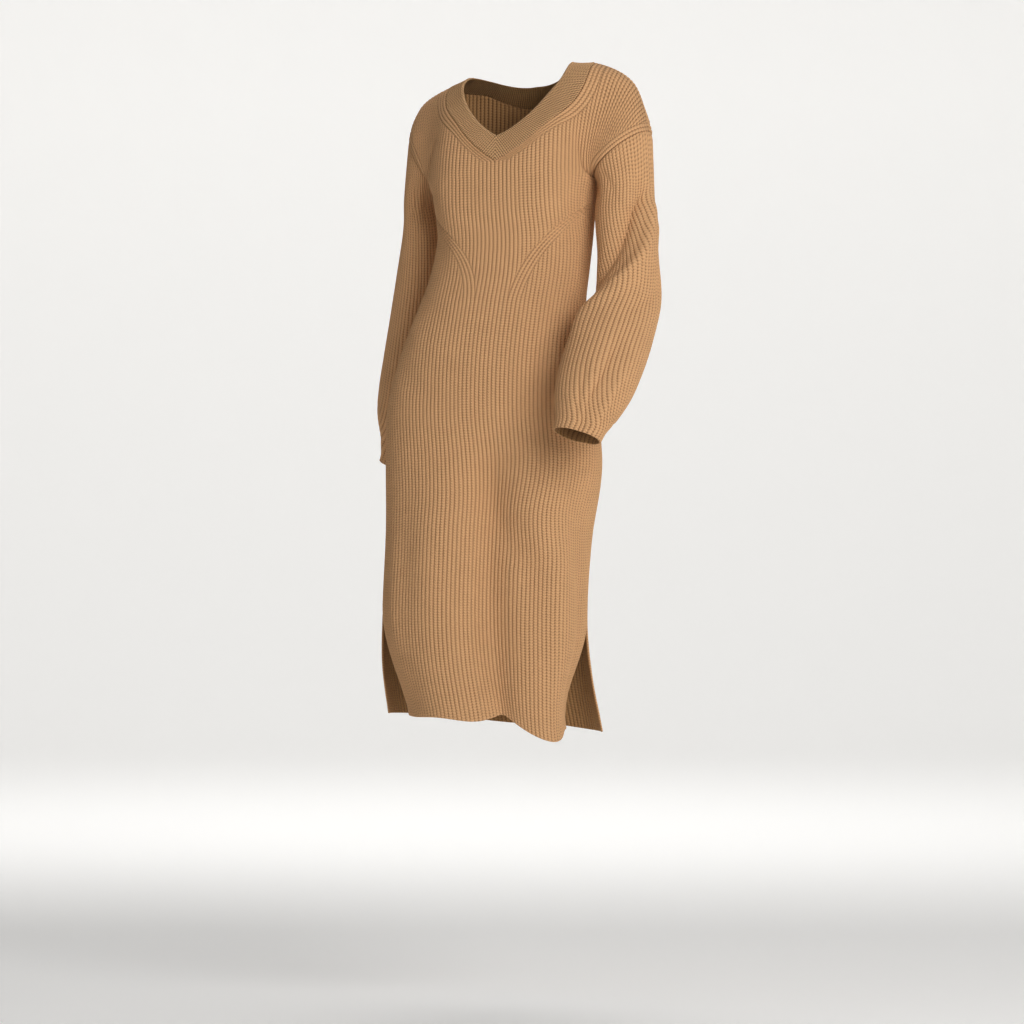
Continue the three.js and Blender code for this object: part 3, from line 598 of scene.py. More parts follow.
class Shell:
    """Grids of points in millimetres, joined where they coincide into one closed shell."""

    def __init__(self):
        self.points, self.knit, self.faces, self.slots = [], [], [], []
        self.count = 0

    def add(self, points, knit):
        """Keep a grid's points and their places on the cloth (rib, course), and return their numbers."""
        ids = np.arange(points[..., 0].size).reshape(points.shape[:-1]) + self.count
        self.points.append(points.reshape(-1, 3))
        self.knit.append(knit.reshape(-1, 2))
        self.count += ids.size
        return ids

    def triangles(self, faces, flip, slot):
        faces = faces.reshape(-1, 3)
        self.faces.append(faces[:, ::-1] if flip else faces)
        self.slots.append(np.full(len(faces), slot))

    def sheet(self, ids, points, flip, slot=0):
        """Two triangles to each square of a grid, parted along its shorter diagonal."""
        a, b, c, d = ids[:-1, :-1], ids[:-1, 1:], ids[1:, 1:], ids[1:, :-1]
        p, q, r, s = points[:-1, :-1], points[:-1, 1:], points[1:, 1:], points[1:, :-1]
        even = np.linalg.norm(p - r, axis=-1) <= np.linalg.norm(q - s, axis=-1)
        self.triangles(np.stack([a, b, np.where(even, c, d)], axis=-1), flip, slot)
        self.triangles(np.stack([np.where(even, a, b), c, d], axis=-1), flip, slot)

    def rim(self, outer, inner, outer_run, inner_run, flip, slot=0):
        """A strip between two lines that run side by side, with a triangle to each step of either."""
        steps = np.concatenate([outer_run[1:] / outer_run[-1], inner_run[1:] / inner_run[-1]])
        order = np.argsort(steps, kind="stable")
        on_outer = order < len(outer) - 1
        i = np.cumsum(on_outer) - on_outer
        j = np.cumsum(~on_outer) - ~on_outer
        i, j = np.minimum(i, len(outer) - 1), np.minimum(j, len(inner) - 1)
        ahead = np.where(on_outer, outer[np.minimum(i + 1, len(outer) - 1)], inner[np.minimum(j + 1, len(inner) - 1)])
        faces = np.where(
            on_outer[:, None],
            np.stack([ahead, outer[i], inner[j]], axis=-1),
            np.stack([inner[j], ahead, outer[i]], axis=-1),
        )
        self.triangles(faces, flip, slot)

    def build(self, name, materials):
        points, knit = np.concatenate(self.points), np.concatenate(self.knit)
        faces, slots = np.concatenate(self.faces), np.concatenate(self.slots)
        _, kept, joined = np.unique(np.round(points * 200), axis=0, return_index=True, return_inverse=True)
        corners = joined.ravel()[faces]
        real = (corners != np.roll(corners, 1, axis=1)).all(axis=1)
        mesh = bpy.data.meshes.new(name)
        mesh.from_pydata((points[kept] * 0.001).tolist(), [], corners[real].tolist())
        mesh.polygons.foreach_set("material_index", slots[real].astype(np.int32))
        layer = mesh.uv_layers.new(name="Knit")
        layer.data.foreach_set("uv", knit[faces[real]].ravel().astype(np.float32))
        mesh.shade_smooth()
        for material in materials:
            mesh.materials.append(material)
        mesh.update()
        piece = bpy.data.objects.new(name, mesh)
        bpy.context.collection.objects.link(piece)
        return piece


def wall(point, normal, crest, inset, raised):
    """The outside of the cloth: the wall with its ribs, drawn in round its edges by a quarter circle."""
    full = round_edge(inset)
    out = WALL * 0.5 + (WALL * 0.5 + raised * crest) * full
    return point + normal * out[..., None]


def lining(point, normal, inset):
    """The inside of the cloth, which meets the outside half way through the wall at its edges."""
    return point + normal * (WALL * 0.5 * (1 - round_edge(inset)))[..., None]


def round_edge(inset):
    t = np.clip(inset / EDGE_ROUND, 0, 1)
    return np.sqrt(1 - (1 - t) ** 2)


def inside_places(neck, total):
    """Columns of the plain inside, the same on every row: the neckline and the side cut them off."""
    near = 1.3 / RIB_PITCH
    neck, total = neck[:, None], total[:, None]
    even = np.arange(1, MOST_RIBS, INSIDE_STEP)[None, :]
    return np.concatenate([neck, np.clip(even, neck + near, total - near), total - near, total], axis=1)


def panel_heights(panel):
    """Heights of the rows: even up the tube, and close together where the neckline starts."""
    hem = HEM_Z - ARMHOLE_Z
    tube = np.concatenate([[hem, hem + 0.6, hem + 1.3, hem + 2.4], np.linspace(hem + 6, 0, 122)])
    start = math.sin(NECK_SEAM[panel] * math.pi * 0.5)
    below = np.linspace(0, NECK_SEAM[panel], 6 if panel == "front" else 22)[1:]
    power = 1.2 if panel == "front" else 2
    climb = np.linspace(0, 1, 40 if panel == "front" else 24)[1:-1] ** power
    above = np.arcsin(np.clip(start + (1 - start) * climb, 0, 1)) / (math.pi * 0.5)
    return np.concatenate([tube, below, above, [0.994, 0.998, 1]])


def course_up(panel, heights, course):
    """Courses up the cloth from the hem, along the side of the centre line."""
    rows = Rows(panel, heights)
    side = rows.at("left", np.full((len(heights), 1), 60.0))[:, 0]
    return lengths(side) / course


def knit_panel(panel, sizes, materials):
    """Both halves of the front or back: ribbed outside, plain inside, and the edges between."""
    heights = panel_heights(panel)
    rows, below = panel_rows(panel, heights)
    course = course_up(panel, heights, sizes.course * 1000)[:, None]
    up = lengths(rows.at("left", np.full((len(heights), 1), 60.0))[:, 0])
    from_hem = np.minimum(up, up[-1] - up)[:, None]
    shell = Shell()
    for side in SIDES:
        flip = (side == "right") != (panel == "back")
        total = (rows.half(side) - np.where(heights > 0, 0, SEAM_GAP * 0.5)) / RIB_PITCH
        neck = neck_out(panel, side, heights, NECK_SEAM) / RIB_PITCH
        start = up[np.searchsorted(heights, NECK_SEAM[panel] - 1e-6)]
        under = np.maximum(start - up, 0)[:, None]
        place, crest, rib = panel_columns(panel, heights, total, neck)
        hem_rib = 0.72 + 0.28 * smooth((up[:, None] - 20) / 5)
        for ribbed in (True, False):
            if not ribbed:
                place = inside_places(neck, total)
                rib = place
            inset = np.minimum((total[:, None] - place) * RIB_PITCH, from_hem)
            inset = np.minimum(inset, np.hypot((place - neck[:, None]) * RIB_PITCH, under))
            point, normal = panel_cloth(panel, side, heights, rows, below, place * RIB_PITCH)
            knit = np.stack([rib, course + 0 * rib], axis=-1)
            if ribbed:
                raised = sizes.rib_raise * 1000 * hem_rib
                points = wall(point, normal, crest, inset, raised)
            else:
                points = lining(point, normal, inset)
            ids = shell.add(points, knit)
            shell.sheet(ids, points, flip != (not ribbed), 0 if ribbed else 1)
            if ribbed:
                outer, outer_points = ids, points
        for row, turned in ((0, flip), (-1, not flip)):
            runs = lengths(outer_points[row]), lengths(points[row])
            shell.rim(outer[row], ids[row], *runs, turned)
    return shell.build(f"{panel}_cloth", materials)


# Sleeves


def sleeve_start(side, degrees):
    """The sleeve's first ring: the armhole's oval, a seam's gap away, turning out of the body's side at
    the underarm."""
    out = armhole_facing(side, degrees)
    run = armhole(side, degrees + 1) - armhole(side, degrees - 1)
    away = unit(np.cross(run, out)) * sign(side)
    under = (1 + np.cos(np.radians(degrees))) / 2
    turn = np.radians(UNDERARM_TURN) * under**2
    cos, sin = np.cos(turn)[..., None], np.sin(turn)[..., None]
    normal = unit(out * cos - away * sin)
    point = armhole(side, degrees) + away * (SEAM_GAP + WALL * sin)
    return point + out * ((THICKNESS + SEAM_GAP) * under**3)[..., None], normal


def curve_through(points, down):
    """Centripetal curves through points (lines, points, 3), read at shares of their points."""
    ahead = points[:, -1:] * 2 - points[:, -2:-1]
    before = points[:, :1] * 2 - points[:, 1:2]
    points = np.concatenate([before, points, ahead], axis=1)
    place = np.clip(down, 0, 1) * (points.shape[1] - 3)
    i = np.minimum(place.astype(int), points.shape[1] - 4)
    t = (place - i)[None, :, None]
    p0, p1, p2, p3 = (points[:, i + k] for k in range(4))
    d0, d1, d2 = (np.linalg.norm(b - a, axis=-1, keepdims=True) ** 0.5 for a, b in ((p0, p1), (p1, p2), (p2, p3)))
    t1 = ((p1 - p0) / d0 - (p2 - p0) / (d0 + d1) + (p2 - p1) / d1) * d1
    t2 = ((p2 - p1) / d1 - (p3 - p1) / (d1 + d2) + (p3 - p2) / d2) * d1
    return p1 + t1 * t + (3 * (p2 - p1) - 2 * t1 - t2) * t**2 + (2 * (p1 - p2) + t1 + t2) * t**3


def sleeve_lines(side, degrees):
    """For each angle, the armhole's ring and a point on each section's ellipse."""
    rows = SLEEVES[side]
    middles = np.stack([rows["x"], rows["y"], rows["z"]], axis=-1)
    first = mix(underarm(side), seam_end(side), 0.5)
    every = np.concatenate([first[None], middles, middles[-1:]])
    run = unit(every[2:] - every[:-2])
    wide = np.array([sign(side), 0, 0]) - run * (sign(side) * run[:, :1])
    wide = unit(wide)
    deep = np.array([0.0, -1, 0]) + run * run[:, 1:2]
    deep = unit(deep - wide * (deep * wide).sum(axis=1, keepdims=True))
    angle = np.radians(degrees)[:, None, None]
    across = wide * (rows["wide"] - THICKNESS)[:, None]
    forward = deep * (rows["deep"] - THICKNESS)[:, None]
    rings = middles - across * np.cos(angle) + forward * np.sin(angle)
    return np.concatenate([sleeve_start(side, degrees)[0][:, None], rings], axis=1)


def sleeve_middle(side, down):
    ends = curve_through(sleeve_lines(side, np.array([0.0, 180.0])), down)
    return ends.mean(axis=0)


def sleeve_surface(side, degrees, down):
    """The plain inside of a sleeve at angles (rows, columns) for each share of the way down (rows)."""
    known = np.arange(0, 360, 1.5)
    grid = curve_through(sleeve_lines(side, known), down)
    middle = sleeve_middle(side, down)[:, None]
    turned = (degrees % 360) / 1.5
    i = np.floor(turned).astype(int)
    t = (turned - i)[..., None]
    row = np.arange(len(down))[:, None]
    point = mix(grid[i % len(known), row], grid[(i + 1) % len(known), row], t)
    out = unit(point - middle)
    share = down[:, None]
    felt = np.zeros(degrees.shape)
    for fold in SLEEVE_FOLDS[side]:
        way = np.clip((share - fold["fromDown"]) / (fold["toDown"] - fold["fromDown"]), 0, 1)
        apart = (degrees - mix(fold["from"], fold["to"], way) + 180) % 360 - 180
        beyond = np.maximum(np.maximum(fold["fromDown"] - share, share - fold["toDown"]), 0) / fold["fade"]
        felt = felt + fold["out"] * bell(apart / fold["wide"]) * bell(beyond) * smooth(share * 10)
    level = share * SLEEVE_LENGTH
    scaled = [{**c, "x0": c["x0"] * SLEEVE_DEGREE, "x1": c["x1"] * SLEEVE_DEGREE} for c in SLEEVE_CREASES[side]]
    fine = crease(degrees * SLEEVE_DEGREE, level, scaled, period=360 * SLEEVE_DEGREE)
    felt = felt + fine * smooth(share * 25) * smooth((1 - share) * 9)
    return point + out * felt[..., None]


def sleeve_cloth(side, degrees, down):
    """The inside of the sleeve and the way it faces: round the sleeve times down it."""
    point = sleeve_surface(side, degrees, down)
    around = sleeve_surface(side, degrees + 1, down) - sleeve_surface(side, degrees - 1, down)
    after = sleeve_surface(side, degrees, np.minimum(down + 0.006, 1))
    run = after - sleeve_surface(side, degrees, np.maximum(down - 0.006, 0))
    normal = unit(np.cross(around, run))
    outward = ((point - sleeve_middle(side, down)[:, None]) * normal).sum(axis=-1, keepdims=True)
    normal = normal * np.where(outward < 0, -1, 1)
    start = sleeve_start(side, degrees[:1].ravel())[1].reshape(1, -1, 3)
    near = (1 - smooth(down / 0.03))[:, None, None]
    return point, unit(mix(normal, start, near))


def sleeve_columns(total):
    """Ribs beside the narrowing line follow it, and the others end against them."""
    flat = np.zeros_like(total)
    line = flat + SLEEVE_LINE_RIBS
    far = total - SLEEVE_LINE_RIBS
    count = MOST_SLEEVE_RIBS - SLEEVE_LINE_RIBS * 2
    groups = [
        rib_group(flat, SLEEVE_LINE_RIBS, flat, line, 0),
        rib_group(total / 2 - count / 2, count, line, far, 4),
        rib_group(far, SLEEVE_LINE_RIBS, far, total, 60),
        closing(total[:, None], 62, total),
    ]
    return [np.concatenate(parts, axis=1) for parts in zip(*groups)]


def knit_sleeve(side, sizes, materials):
    down = np.concatenate([[0, 0.0012, 0.0026, 0.005], np.linspace(0.012, 0.99, SLEEVE_ROWS), [0.995, 0.9975, 0.9988, 1]])
    rows = SLEEVES[side]
    ribs = {"place": np.arange(len(rows["z"]) + 1.0), "ribs": np.concatenate([rows["ribs"][:1], rows["ribs"]])}
    total = column(ribs, "place", down * len(rows["z"]), "ribs")
    run = lengths(curve_through(sleeve_lines(side, np.array([90.0])), down)[0])
    inset_row = np.minimum(run, run[-1] - run)[:, None]
    cuff = bell((run[-1] - run - CUFF_DEEP) / 3)[:, None]
    shell = Shell()
    flip = side == "left"
    place, crest, rib = sleeve_columns(total)
    grids = []
    for ribbed in (True, False):
        if not ribbed:
            share = np.linspace(0, 1, SLEEVE_INSIDE_SPANS + 1)[None, :] + 0 * total[:, None]
            rib = share * total[:, None]
        else:
            share = place / total[:, None]
        point, normal = sleeve_cloth(side, SLEEVE_LINE + 360 * (share % 1), down)
        inset = inset_row + 0 * share
        if ribbed:
            raised = sizes.rib_raise * 1000 * smooth(run / 5)[:, None] * (1 - 0.75 * cuff)
            points = wall(point, normal, crest, inset, raised)
        else:
            points = lining(point, normal, inset)
        knit = np.stack([rib, run[:, None] / (sizes.course * 1000) + 0 * rib], axis=-1)
        ids = shell.add(points, knit)
        shell.sheet(ids, points, flip != (not ribbed), 0 if ribbed else 1)
        grids.append((ids, points))
    (outer, outer_points), (inner, inner_points) = grids
    for row, turned in ((0, flip), (-1, not flip)):
        runs = lengths(outer_points[row]), lengths(inner_points[row])
        shell.rim(outer[row], inner[row], *runs, turned)
    return shell.build(f"sleeve_{side}_cloth", materials)


# Neckband


def neck_line(side, edge):
    """An edge of the neckband from the point of the V to the middle of the back, and how it faces."""
    front = np.sin(NECK_SEAM["front"] * np.pi * 0.5)
    climb = np.linspace(0, 1, 60) ** 1.3
    heights = np.arcsin(np.clip(front + (1 - front) * climb, 0, 1)) / (np.pi * 0.5)
    up = (heights - NECK_SEAM["front"]) / (1 - NECK_SEAM["front"])
    heights = np.clip(edge["front"] + (1 - edge["front"]) * up, 0, 1)
    rows, below = panel_rows("front", heights)
    out = neck_out("front", side, heights, edge)[:, None]
    parts = [panel_cloth("front", side, heights, rows, below, out)]
    if edge["back"] < 1:
        start = np.sin(edge["back"] * np.pi * 0.5)
        climb = np.linspace(1, 0, 40) ** 2
        heights = np.arcsin(np.clip(start + (1 - start) * climb, 0, 1)) / (np.pi * 0.5)
        out = neck_out("back", side, heights, edge)[:, None]
    else:
        heights = np.ones(40)
        out = (ridge_out("back", side, edge) * np.linspace(1, 0, 40))[:, None]
    rows, below = panel_rows("back", heights)
    parts.append(panel_cloth("back", side, heights, rows, below, out))
    point, normal = (np.concatenate([part[k][:, 0] for part in parts]) for k in (0, 1))
    return point, even(normal, lengths(point), 8)


def even(values, run, reach):
    """Values along a line, each averaged with its neighbours by a bell, so that they turn softly."""
    weight = bell((run[:, None] - run[None, :]) / reach)
    return unit(weight @ values)


def knit_band(sizes, materials):
    """Fine ribs across the band, from the seam to the free edge; those of the mitre end on its middle."""
    shell = Shell()
    pitch = sizes.band_pitch * 1000
    for side in SIDES:
        flip = side == "right"
        seam, facing_out = neck_line(side, NECK_SEAM)
        free, _ = neck_line(side, NECK_FREE)
        seam_run, free_run = lengths(seam), lengths(free)
        mitred = round(BAND_MITRE / pitch)
        count = round(seam_run[-1] / pitch)
        place = np.concatenate([
            np.linspace(0, BAND_MITRE, mitred * RIB_STEPS + 1),
            np.linspace(BAND_MITRE, seam_run[-1], (count - mitred) * RIB_STEPS + 1)[1:],
        ])
        low = along(seam, seam_run, place)
        normal = unit(along(facing_out, seam_run, place))
        share = np.clip((place - BAND_MITRE) / (seam_run[-1] - BAND_MITRE), 0, 1)
        high = along(free, free_run, share * free_run[-1])
        point = low[0] + np.array([0, 0, SEAM_GAP])
        on_middle = mix(point, free[0], np.clip(place / BAND_MITRE, 0, 1)[:, None])
        mitre = place < BAND_MITRE
        high = np.where(mitre[:, None], on_middle, high)
        step = along(seam, seam_run, place + 1) - along(seam, seam_run, place - 1)
        inward = unit(np.cross(step, normal)) * -sign(side)
        inward[-1] = unit(high[-1] - low[-1])
        low = low + inward * SEAM_GAP
        low[0] = point
        rib = np.concatenate([np.arange(mitred * RIB_STEPS + 1), mitred * RIB_STEPS + np.arange(1, (count - mitred) * RIB_STEPS + 1)]) / RIB_STEPS
        ends = np.array([0, 0.012, 0.03, 0.06])
        for ribbed in (True, False):
            v = np.concatenate([ends, np.linspace(0.12, 0.88, 8), 1 - ends[::-1]])[:, None]
            reach = np.linalg.norm(high - low, axis=1)[None, :]
            points = mix(low[None], high[None], v[..., None])
            facing_here = mix(normal[None], np.where(mitre[:, None], normal[0], normal)[None], v[..., None])
            from_free = np.where(mitre[None, :], 99, (1 - v) * reach)
            inset = np.minimum(v * reach, from_free)
            inset = np.where(mitre[None, :] & (v * reach > EDGE_ROUND), EDGE_ROUND, inset)
            crest = rib_profile(rib % 1)[None, :] * smooth(v * reach / 3) * smooth(from_free / 4)
            edge_chain = bell((from_free - 2.6) / 1.3) * 0.7 + bell((v * reach - 2.6) / 1.3) * 0.5
            if ribbed:
                raised = wall(points, unit(facing_here), crest + edge_chain, inset, sizes.band_raise * 1000)
            else:
                raised = lining(points, unit(facing_here), inset)
            knit = np.stack([rib[None, :] + 0 * v, v * reach / (sizes.course * 1000)], axis=-1)
            ids = shell.add(raised, knit)
            shell.sheet(ids, raised, flip == ribbed, 0 if ribbed else 1)
    return shell.build("neckband_cloth", materials)


# Yarn


def linear(colour):
    """An sRGB hex colour as linear red, green, blue and alpha."""
    parts = [int(colour[i : i + 2], 16) / 255 for i in (1, 3, 5)]
    return tuple(c / 12.92 if c <= 0.04045 else ((c + 0.055) / 1.055) ** 2.4 for c in parts) + (1.0,)


def node(tree, kind, settings=None, links=None):
    """Add a node with its settings, and link its inputs: each a value or another node's output."""
    made = tree.nodes.new(kind)
    for name, value in (settings or {}).items():
        setattr(made, name, value)
    for name, value in (links or {}).items():
        socket = made.inputs[name]
        if isinstance(value, bpy.types.NodeSocket):
            tree.links.new(value, socket)
        else:
            socket.default_value = value
    return made


def maths(tree, operation, a, b=None, c=None):
    values = {0: a} | ({1: b} if b is not None else {}) | ({2: c} if c is not None else {})
    return node(tree, "ShaderNodeMath", {"operation": operation}, values).outputs[0]


def brushed_rib_knit(name, lit, shade_and_dark_tone, ribs=False, deep=0.95):
    """Brushed camel wool in rib: a matt yarn with a soft bloom at its rim, chevron stitches up each rib and holes
    along the valleys. The second colour is painted shade, laid between the stitch legs and in the holes, and it also
    gives the yarn its random darker fibres and patches; deep sets how dark the painted shade in the holes is. ribs
    draws the ribs as bump, for an inside that has none."""
    material = bpy.data.materials.new(name)
    material.use_nodes = True
    tree = material.node_tree
    tree.nodes.clear()
    place = node(tree, "ShaderNodeUVMap", {"uv_map": "Knit"})
    here = node(tree, "ShaderNodeTexCoord")

    # The yarn wanders, so no two stitches are quite alike
    wander = node(tree, "ShaderNodeTexNoise", {"noise_dimensions": "2D"},
                  {"Vector": place.outputs["UV"], "Scale": 1.3, "Detail": 2.0})
    shift = node(tree, "ShaderNodeVectorMath", {"operation": "SCALE"},
                 {0: wander.outputs["Color"], "Scale": 0.22})
    moved = node(tree, "ShaderNodeVectorMath", {"operation": "ADD"}, {0: place.outputs["UV"], 1: shift.outputs[0]})
    split = node(tree, "ShaderNodeSeparateXYZ", links={"Vector": place.outputs["UV"]})
    course = node(tree, "ShaderNodeSeparateXYZ", links={"Vector": moved.outputs[0]}).outputs["Y"]
    rib = maths(tree, "FLOOR", split.outputs["X"])
    start = node(tree, "ShaderNodeTexWhiteNoise", {"noise_dimensions": "1D"}, {"W": rib})
    course = maths(tree, "MULTIPLY_ADD", start.outputs["Value"], 0.8, course)
    across = maths(tree, "FRACT", split.outputs["X"])
    aside = maths(tree, "ABSOLUTE", maths(tree, "SUBTRACT", across, 0.5))

    # Chevrons: a course climbs from each edge of the rib to its middle, and each leg is round; the gaps between the
    # legs get painted shade
    climb = maths(tree, "MULTIPLY_ADD", aside, -1.0, course)
    leg = maths(tree, "ABSOLUTE", maths(tree, "SINE", maths(tree, "MULTIPLY", climb, math.pi)))
    leg = maths(tree, "POWER", leg, 0.7)

    # Valleys between ribs, and the holes that the courses leave along them: sunk as bump, and darkened in colour as
    # painted shade
    hollow = maths(tree, "POWER", maths(tree, "MULTIPLY", aside, 2.0), 3.2)
    beat = maths(tree, "SINE", maths(tree, "MULTIPLY", course, 2 * math.pi))
    hole = maths(tree, "MULTIPLY", maths(tree, "MULTIPLY_ADD", beat, 0.26, 0.6), hollow)

    # Yarn of a few plies with loose fibres: fine noise at 0.7 mm and slow patches at 30 mm
    fibres = node(tree, "ShaderNodeTexNoise", links={
        "Vector": here.outputs["Object"], "Scale": 1400.0, "Detail": 3.0, "Roughness": 0.65})
    patches = node(tree, "ShaderNodeTexNoise", links={
        "Vector": here.outputs["Object"], "Scale": 34.0, "Detail": 3.0, "Roughness": 0.55})
    # The colour runs from the lit yarn to its painted shade: painted shade between the stitch legs and in the holes
    # (scaled by deep), and random tone from the fibres and patches
    depth = maths(tree, "MULTIPLY_ADD", leg, -0.44, 0.32)
    depth = maths(tree, "MULTIPLY_ADD", hole, deep, depth)
    depth = maths(tree, "MULTIPLY_ADD", fibres.outputs["Fac"], -0.5, maths(tree, "ADD", depth, 0.25))
    depth = maths(tree, "MULTIPLY_ADD", patches.outputs["Fac"], -0.24, maths(tree, "ADD", depth, 0.12))
    tone = node(tree, "ShaderNodeMix", {"data_type": "RGBA", "clamp_factor": True},
                {0: depth, 6: linear(lit), 7: linear(shade_and_dark_tone)})

    height = maths(tree, "MULTIPLY", leg, 0.9)
    height = maths(tree, "MULTIPLY_ADD", hole, -1.6, height)
    height = maths(tree, "MULTIPLY_ADD", fibres.outputs["Fac"], 0.6, height)
    if ribs:
        crest = maths(tree, "SINE", maths(tree, "MULTIPLY", across, math.pi))
        height = maths(tree, "MULTIPLY_ADD", crest, 2.0, height)
    bump = node(tree, "ShaderNodeBump", links={"Height": height, "Strength": 1.0, "Distance": 0.0008})
    shader = node(tree, "ShaderNodeBsdfPrincipled", links={
        "Base Color": tone.outputs[2], "Normal": bump.outputs["Normal"],
        "Roughness": 0.92, "IOR": 1.45, "Specular IOR Level": 0.25,
        "Sheen Weight": 0.12, "Sheen Roughness": 0.45, "Sheen Tint": linear("#E9CFA9"),
    })
    node(tree, "ShaderNodeOutputMaterial", links={"Surface": shader.outputs["BSDF"]})
    return material


def lit_paint(name, colour, glow):
    """Matt paint under even light from the ceiling, which a faint glow stands for."""
    material = bpy.data.materials.new(name)
    material.use_nodes = True
    shader = material.node_tree.nodes["Principled BSDF"]
    shader.inputs["Base Color"].default_value = linear(colour)
    shader.inputs["Roughness"].default_value = 0.9
    shader.inputs["Emission Color"].default_value = linear(colour)
    shader.inputs["Emission Strength"].default_value = glow
    return material


# Add-on


class DressSizes(bpy.types.PropertyGroup):
    """Sizes of the knit."""

    rib_raise: bpy.props.FloatProperty(
        name="Rib height", description="How far a rib stands out of the valleys beside it",
        default=0.0017, min=0.0005, max=0.003, unit="LENGTH",
    )
    band_raise: bpy.props.FloatProperty(
        name="Neckband rib height", description="How far the neckband's fine ribs stand out",
        default=0.0015, min=0.0002, max=0.002, unit="LENGTH",
    )
    band_pitch: bpy.props.FloatProperty(
        name="Neckband rib pitch", description="From one fine rib of the neckband to the next",
        default=0.0038, min=0.002, max=0.006, unit="LENGTH",
    )
    course: bpy.props.FloatProperty(
        name="Course height", description="Height of one stitch along a rib",
        default=0.0045, min=0.002, max=0.008, unit="LENGTH",
    )


class StudioSettings(bpy.types.PropertyGroup):
    """Light and view of the studio."""

    key_power: bpy.props.FloatProperty(
        name="Key light", description="Power of the large soft light before the dress",
        default=84.0, min=0.0, subtype="POWER",
    )
    fill_power: bpy.props.FloatProperty(
        name="Fill light", description="Power of the soft light beside the dress",
        default=0.0, min=0.0, subtype="POWER",
    )
    backdrop_power: bpy.props.FloatProperty(
        name="Backdrop light", description="Power of the light on the wall behind the dress",
        default=98.0, min=0.0, subtype="POWER",
    )
    azimuth: bpy.props.FloatProperty(
        name="Camera azimuth", description="Turn of the camera round the dress",
        default=math.radians(20), subtype="ANGLE", unit="ROTATION",
    )


PANEL_CUTS = {"front": ((0.50, 1.17), 0.49), "back": ((0.50, 1.19), 0.50)}  # flat size and area
SLEEVE_CUT = ((0.37, 0.56), 0.18)
BAND_CUT = ((0.045, 0.75), 0.030)


def dress_piece(piece, solid, flat, area):
    """Join a piece to the frame, in place of its solid."""
    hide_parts(solid)
    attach(piece, "root")


class MESH_OT_knit_panels(bpy.types.Operator):
    """Knit the front and the back, with their ribs, bust darts and slits"""

    bl_idname = "mesh.knit_panels"
    bl_label = "Front and back"

    def execute(self, context):
        for panel in ("front", "back"):
            outside = brushed_rib_knit(f"Brushed rib knit, {panel}", "#DEAC7C", "#7C5433")
            # The inside is the same yarn in darker colours: painted shade for the inside of the dress
            inside = brushed_rib_knit(f"Brushed rib knit, inside of {panel}", "#B98A5A", "#6E4A2A", ribs=True)
            flat, area = PANEL_CUTS[panel]
            piece = knit_panel(panel, context.scene.dress_sizes, (outside, inside))
            dress_piece(piece, panel, flat, area)
        return {"FINISHED"}


class MESH_OT_knit_sleeves(bpy.types.Operator):
    """Knit both sleeves, from the armhole to the cuff"""

    bl_idname = "mesh.knit_sleeves"
    bl_label = "Sleeves"

    def execute(self, context):
        outside = brushed_rib_knit("Brushed rib knit, sleeve", "#DEAC7C", "#7C5433")
        # The inside is the same yarn in darker colours: painted shade for the inside of the sleeve
        inside = brushed_rib_knit("Brushed rib knit, inside of sleeve", "#B98A5A", "#6E4A2A", ribs=True)
        for side in SIDES:
            piece = knit_sleeve(side, context.scene.dress_sizes, (outside, inside))
            dress_piece(piece, f"sleeve_{side}", *SLEEVE_CUT)
        return {"FINISHED"}


class MESH_OT_knit_neckband(bpy.types.Operator):
    """Knit the mitred band of fine rib round the neck"""

    bl_idname = "mesh.knit_neckband"
    bl_label = "Neckband"

    def execute(self, context):
        # The neckband's holes take a darker painted shade (deep 2.0)
        outside = brushed_rib_knit("Fine rib knit, neckband", "#DCAE7E", "#6A4628", deep=2.0)
        # The inside is the same yarn in darker colours: painted shade for the inside of the neckband
        inside = brushed_rib_knit("Fine rib knit, inside of neckband", "#B08454", "#6E4A2A", ribs=True)
        piece = knit_band(context.scene.dress_sizes, (outside, inside))
        dress_piece(piece, "neckband", *BAND_CUT)
        return {"FINISHED"}


FLOOR_Z = -1.59
SWEEP_RADIUS = 11.0
SWEEP_BEND = 2.5
SWEEP_HEIGHT = 5.0
VIEW_WIDTH = 1.741  # across the picture, at the dress
VIEW_DISTANCE = 8.0
VIEW_CENTRE = (-0.0187, -0.741)  # to the right of the origin in the picture, and up


def area_light(name, power, size, place, aim):
    """A soft square light of a size in metres, turned towards a point."""
    data = bpy.data.lights.new(name, "AREA")
    data.energy, data.size = power, size
    lamp = bpy.data.objects.new(name, data)
    lamp.location = place
    way = np.array(aim) - np.array(place)
    flat = math.hypot(way[0], way[1])
    lamp.rotation_euler = (math.atan2(flat, -way[2]), 0, math.atan2(-way[0], way[1]))
    bpy.context.collection.objects.link(lamp)


